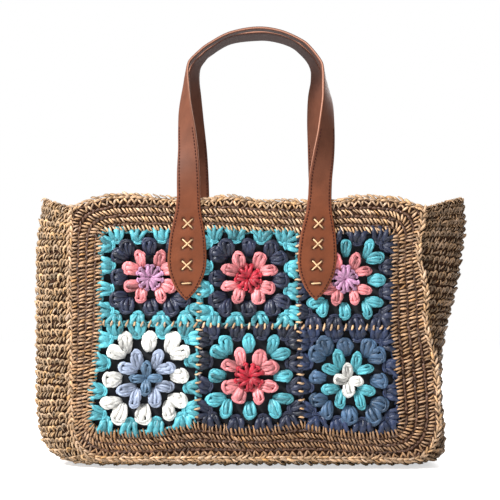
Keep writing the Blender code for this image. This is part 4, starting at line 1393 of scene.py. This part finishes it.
def strap_line(path, leans, leaf_count=LEAF_STATIONS, arch_count=200):
    """Centres, twists and widths of a strap from tip to tip."""
    table = np.array(path)
    left, left_width = leaf_line(table[0, 0] * HANDLE_SPREAD, leans[0], leaf_count)
    right, right_width = leaf_line(table[-1, 0] * HANDLE_SPREAD, leans[1], leaf_count)
    rows = curve(path, np.linspace(0, len(path) - 1, arch_count))
    x = rows[:, 0] * HANDLE_SPREAD
    start = rest_y(x, np.full(len(x), BODY_HEIGHT))
    y = start + (-ARCH_SETBACK - start) * rows[:, 2]
    arch = np.stack([x, y, BODY_HEIGHT + rows[:, 1] * HANDLE_RISE], axis=1)
    centres = np.concatenate([left, arch, right[::-1]])
    twists = np.concatenate([np.zeros(leaf_count), np.radians(rows[:, 3]), np.zeros(leaf_count)])
    widths = np.concatenate([left_width, np.full(arch_count, STRAP_WIDTH), right_width[::-1]])
    return centres, twists, widths


def strap_frames(centres, twists, tilt):
    """Unit directions along, across and out of a strap's face."""
    along = np.gradient(centres, axis=0)
    along /= np.linalg.norm(along, axis=1, keepdims=True)
    inward = np.where(np.arange(len(centres)) < len(centres) / 2, 1.0, -1.0)
    sine = np.sin(twists)
    across = np.stack([inward * np.cos(twists), -sine, -tilt * sine**2], axis=1)
    across -= along * np.sum(across * along, axis=1, keepdims=True)
    across /= np.linalg.norm(across, axis=1, keepdims=True)
    face = np.cross(across, along)
    face /= np.linalg.norm(face, axis=1, keepdims=True)
    return along, across, face


# %% Straps


def strap_section():
    """Cross-section of a strap: share of the half width, height share and cut-edge share."""
    half = STRAP_THICKNESS / 2
    section = []
    for share in np.linspace(-1, 1, 43):
        section.append((share, 1.0, 0.0, 1))
    for turn in np.radians((65, 40, 18, 0, -18, -40, -65)):
        section.append((1.0, math.sin(turn), 1.0, math.cos(turn)))
    for share in np.linspace(1, -1, 7):
        section.append((share, -1.0, 0.0, 1))
    for turn in np.radians((-65, -40, -18, 0, 18, 40, 65)):
        section.append((-1.0, math.sin(turn), 1.0, math.cos(turn)))
    return section, half


HOLE_REACH = 4.4 * MM
PUCKER_SPACING = 0.0205
PUCKER_WIDTH = 0.0085
PUCKER_HEIGHT = 0.5 * MM


def pucker(height, offset):
    """How far the leather swells between two crosses and sinks under them."""
    first, final = CROSS_HEIGHTS[0], CROSS_HEIGHTS[-1]
    if not first - 0.024 < height < final + 0.014:
        return 0.0
    nearest = min(CROSS_HEIGHTS, key=lambda cross: abs(cross - height))
    wave = math.cos((height - nearest) / PUCKER_SPACING * 2 * math.pi)
    return -PUCKER_HEIGHT * wave * math.exp(-((offset / PUCKER_WIDTH) ** 2))


def make_strap(name, path, side, tilt, leans):
    """Leather body of one handle. side is -1 on the front and 1 on the back."""
    centres, twists, widths = strap_line(path, leans)
    _, across, face = strap_frames(centres, twists, tilt)
    section, half = strap_section()
    round_edge = 0.0009
    dents = []
    for end in (0, 1):
        for height in (BAR_HEIGHT, *CROSS_HEIGHTS):
            for shift in (-1, 1):
                for lift in ((0.0,) if height == BAR_HEIGHT else (-1, 1)):
                    dents.append((end, height + lift * HOLE_REACH, shift * HOLE_REACH))
    travelled = centres[:, 2] - centres[0, 2]
    points, zones, under_shades = [], [], []
    on_leaf = np.clip((centres[:, 2] - (BODY_HEIGHT - 0.02)) / 0.05, 0, 1)
    for station in range(len(centres)):
        width = widths[station] / 2
        flat = max(width - round_edge, width * 0.5)
        edge = width - flat
        for far, high, cut, bulge in section:
            hole_shade = 0.0
            if cut:
                offset = math.copysign(flat + edge * bulge, far)
                lift = high * half * 0.92
            else:
                offset = far * flat
                lift = high * half
                if high > 0:
                    lift -= 0.15 * MM * abs(far) ** 6
                    lift += pucker(travelled[station], offset)
                    end = 0 if station < len(centres) / 2 else 1
                    for dent_end, height, shift in dents:
                        if dent_end == end:
                            away = (travelled[station] - height) ** 2 + (offset - shift) ** 2
                            lift -= 1.1 * MM * math.exp(-away / (2 * (1.1 * MM) ** 2))
                            lift += 0.25 * MM * math.exp(-away / (2 * (3.2 * MM) ** 2))
                            # Painted shade in the dent round each stitch hole.
                            hole_shade = max(hole_shade, math.exp(-away / (2 * (1.5 * MM) ** 2)))
            points.append(centres[station] + across[station] * offset + face[station] * lift)
            zones.append((on_leaf[station], max(0.0, 1 - abs(high) * 1.6) if cut else 0.0, hole_shade))
            # Painted shade on the arch: its underside goes 0.8 and its cut edges 0.35 of the way to the dark
            # grey.
            arch = min(max((centres[station][2] - 0.385) / 0.05, 0.0), 1.0)
            under_shades.append(arch * (1.0 if high < 0 or cut else 0.0) * (0.8 if not cut else 0.35))
    points = np.array(points)
    points[:, 1] *= -side
    count = len(section)
    faces = []
    for station in range(len(centres) - 1):
        here = station * count
        for corner in range(count):
            after = (corner + 1) % count
            faces.append((here + corner, here + count + corner, here + count + after, here + after))
    faces.append(tuple(range(count)))
    faces.append(tuple((len(centres) - 1) * count + corner for corner in range(count))[::-1])
    if side > 0:
        faces = [tuple(reversed(f)) for f in faces]
    strap = mesh_object(name, points, faces, (("zone", "FLOAT_VECTOR", zones), ("under", "FLOAT", under_shades)))
    strap.data.materials.append(LEATHER)
    bpy.context.scene.collection.objects.link(strap)
    return strap


HANDLES = (
    ("front_handle", FRONT_PATH, -1, 0.19, (0.013, 0.036), "tan_leather"),
    ("rear_handle", REAR_PATH, 1, 0.09, (-0.01, 0.01), "rear_tan_leather"),
)
for handle_name, handle_path, handle_side, handle_tilt, handle_leans, handle_slot in HANDLES:
    dress(make_strap(handle_name + "_leather", handle_path, handle_side, handle_tilt, handle_leans),
          handle_name)

# %% Stitching on the leather
THREAD_TINT = linear(60, 24, 17)
CROSS_TINT = linear(226, 190, 146)
THREAD_TOP = 0.345


def thread_stitch():
    """Short machine stitch along X."""
    line = np.zeros((1, 5, 3))
    line[0, :, 0] = np.linspace(-1.1, 1.1, 5) * MM
    line[0, :, 2] = np.array([-0.3, 0.1, 0.2, 0.1, -0.3]) * MM
    return strand_object("thread", [tubes(line, 0.58 * MM, 0.38 * MM, (0, 0, 1), 5)])


THREADS = stitch_collection("Thread", [thread_stitch()])


THREAD_INSET = 2.6 * MM
THREAD_PITCH = 3.4 * MM
THREAD_START = 2.5 * MM


def edge_threads(name, path, side, tilt, leans):
    """Machine stitches near both edges of both faces of a strap."""
    centres, twists, widths = strap_line(path, leans)
    _, across, face = strap_frames(centres, twists, tilt)
    half = STRAP_THICKNESS / 2
    here, run, out = [], [], []
    for edge in (-1, 1):
        for looks in (-1, 1):
            inset = np.maximum(widths / 2 - THREAD_INSET, 0.4 * MM)
            line = centres + across * (edge * inset)[:, None] + face * looks * (half + 0.02 * MM)
            steps = np.linalg.norm(np.diff(line, axis=0), axis=1)
            length = np.concatenate([[0.0], np.cumsum(steps)])
            wanted = np.arange(THREAD_START, length[-1] - THREAD_START, THREAD_PITCH)
            if looks < 0:
                wanted = wanted[(wanted > LEAF_LENGTH) & (wanted < length[-1] - LEAF_LENGTH)]
            at = np.interp(wanted, length, np.arange(len(line)))
            low = np.minimum(at.astype(int), len(line) - 2)
            part = (at - low)[:, None]
            seen = line[low, 2] < THREAD_TOP
            here.append((line[low] * (1 - part) + line[low + 1] * part)[seen])
            run.append((line[low + 1] - line[low])[seen])
            out.append((face[low] * looks)[seen])
    here, run, out = np.concatenate(here), np.concatenate(run), np.concatenate(out)
    flip = np.array([1.0, -side, 1.0])
    here, run, out = here * flip, run * flip, out * flip
    return scatter(name, THREADS, THREAD, here, np.cross(out, run), out, (1.0, 1.0, 1.0),
                   THREAD_TINT, rng.uniform(0.2, 0.8, len(here)))


def cross_stitches(name, path, side, leans):
    """Crosses and the bar that sew a leaf on."""
    centres, _, _ = strap_line(path, leans)
    half = STRAP_THICKNESS / 2
    lines = []
    for end in (0, 1):
        leaf = centres[:LEAF_STATIONS] if end == 0 else centres[-LEAF_STATIONS:][::-1]
        for height in CROSS_HEIGHTS:
            for slant in (-1, 1):
                share = np.linspace(-1, 1, 9)
                z = leaf[0, 2] + height + share * 4.7 * MM + rng.normal(0, 0.2) * MM
                x = np.interp(z, leaf[:, 2], leaf[:, 0]) + slant * share * rng.uniform(4.6, 5.2) * MM
                over = (0.75 + 0.5 * (slant > 0)) * MM * (1 - share**6)
                y = rest_y(x, z) - half - over + 1.2 * MM * share**8
                lines.append(np.stack([x, y, z], axis=1))
        share = np.linspace(-1, 1, 9)
        z = leaf[0, 2] + BAR_HEIGHT + 0.3 * MM * share
        x = np.interp(z, leaf[:, 2], leaf[:, 0]) + share * 4.6 * MM
        y = rest_y(x, z) - half - 0.75 * MM * (1 - share**6) + 1.2 * MM * share**8
        lines.append(np.stack([x, y, z], axis=1))
    lines = np.array(lines)
    normals = np.tile((0.0, -1.0, 0.0), (len(lines), 9, 1))
    points, faces, fibre = tubes(lines, 0.75 * MM, 0.6 * MM, normals, 7)
    points[:, 1] *= -side
    if side > 0:
        faces = [tuple(reversed(f)) for f in faces]
    piece = strand_object(name, [(points, faces, fibre)], CROSS_TINT)
    piece.data.materials.append(THREAD)
    bpy.context.scene.collection.objects.link(piece)
    return piece


for handle_name, handle_path, handle_side, handle_tilt, handle_leans, handle_slot in HANDLES:
    dress(edge_threads(handle_name + "_threads", handle_path, handle_side, handle_tilt, handle_leans))
    dress(cross_stitches(handle_name + "_crosses", handle_path, handle_side, handle_leans))

# %% [markdown]
# ## Lining
# The lining keeps its solid's own shape and takes a dark cloth.

# %% Lining cloth
cloth = bpy.data.materials.new("Lining cloth")
cloth.use_nodes = True
cloth.node_tree.nodes["Principled BSDF"].inputs["Base Color"].default_value = (0.012, 0.013, 0.017, 1.0)
cloth.node_tree.nodes["Principled BSDF"].inputs["Roughness"].default_value = 0.95
lining = frame["nodes"]["lining"]
lining.data.materials.clear()
lining.data.materials.append(cloth)

# %% [markdown]
# ## Floor, light and camera
# A pale floor under a white sky, a broad light from the upper left and a weak one behind.

# %% Studio
SKY_LIGHT = 0.38
FLOOR_GLOW = 0.62


def plain_material(name, colour, roughness=0.9):
    """Plain surface."""
    material = bpy.data.materials.new(name)
    material.use_nodes = True
    material.node_tree.nodes["Principled BSDF"].inputs["Base Color"].default_value = (*colour, 1.0)
    material.node_tree.nodes["Principled BSDF"].inputs["Roughness"].default_value = roughness
    return material


floor = mesh_object("floor", [(-6, -6, -0.0005), (6, -6, -0.0005), (6, 6, -0.0005), (-6, 6, -0.0005)],
                    [(0, 1, 2, 3)], smooth=False)
floor_paint = plain_material("Floor", (0.92, 0.92, 0.92))
floor_nodes, floor_links = floor_paint.node_tree.nodes, floor_paint.node_tree.links
floor_seen = floor_nodes.new("ShaderNodeLightPath")
floor_glow = floor_nodes.new("ShaderNodeMapRange")
floor_glow.inputs["To Min"].default_value = 0.0
floor_glow.inputs["To Max"].default_value = FLOOR_GLOW
floor_links.new(floor_seen.outputs["Is Camera Ray"], floor_glow.inputs["Value"])
floor_links.new(floor_glow.outputs["Result"], floor_nodes["Principled BSDF"].inputs["Emission Strength"])
floor_nodes["Principled BSDF"].inputs["Emission Color"].default_value = (1.0, 1.0, 1.0, 1.0)
floor.data.materials.append(floor_paint)
bpy.context.scene.collection.objects.link(floor)

world = bpy.context.scene.world or bpy.data.worlds.new("World")
bpy.context.scene.world = world
world.use_nodes = True
world.node_tree.nodes["Background"].inputs["Color"].default_value = (1.0, 1.0, 1.0, 1.0)
seen_directly = world.node_tree.nodes.new("ShaderNodeLightPath")
strength = world.node_tree.nodes.new("ShaderNodeMapRange")
strength.inputs["To Min"].default_value = SKY_LIGHT
strength.inputs["To Max"].default_value = 1.0
world.node_tree.links.new(seen_directly.outputs["Is Camera Ray"], strength.inputs["Value"])
world.node_tree.links.new(strength.outputs["Result"], world.node_tree.nodes["Background"].inputs["Strength"])


def area_light(name, place, target, size, power, colour=(1.0, 1.0, 1.0)):
    """Soft square light aimed at a point."""
    light = bpy.data.lights.new(name, "AREA")
    light.size = size
    light.energy = power
    light.color = colour
    thing = bpy.data.objects.new(name, light)
    thing.location = place
    thing.rotation_euler = (Vector(target) - Vector(place)).to_track_quat("-Z", "Y").to_euler()
    bpy.context.scene.collection.objects.link(thing)
    return thing


LIGHT_TARGET = (0, 0, 0.15)
area_light("Key light", (-1.5, -1.15, 1.75), LIGHT_TARGET, 0.5, 95)
area_light("Back light", (0.9, 1.6, 1.3), LIGHT_TARGET, 0.9, 26)

CAMERA_PLACE = (-0.001, -1.055, 0.152)
CAMERA_LENS = 72
CAMERA_SHIFT = 0.136
camera_data = bpy.data.cameras.new("Camera")
camera_data.lens = CAMERA_LENS
camera_data.sensor_width = 36
camera_data.shift_y = CAMERA_SHIFT
camera = bpy.data.objects.new("Camera", camera_data)
camera.location = CAMERA_PLACE
camera.rotation_euler = (math.radians(90), 0, 0)
bpy.context.scene.collection.objects.link(camera)
bpy.context.scene.camera = camera
bpy.context.scene.view_settings.view_transform = "Standard"

# %% Finish
for group in (FRONT_STROKES, PLAIN_STROKES, HOOKED_STROKES, PETALS, FANS, SPOKES, WHIPS, THREADS):
    for thing in list(group.objects):
        bpy.data.objects.remove(thing)
    bpy.data.collections.remove(group)
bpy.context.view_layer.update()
total = sum(len(thing.data.loops) - 2 * len(thing.data.polygons)
            for thing in bpy.context.scene.objects if thing.type == "MESH")
print("triangles in all:", total)
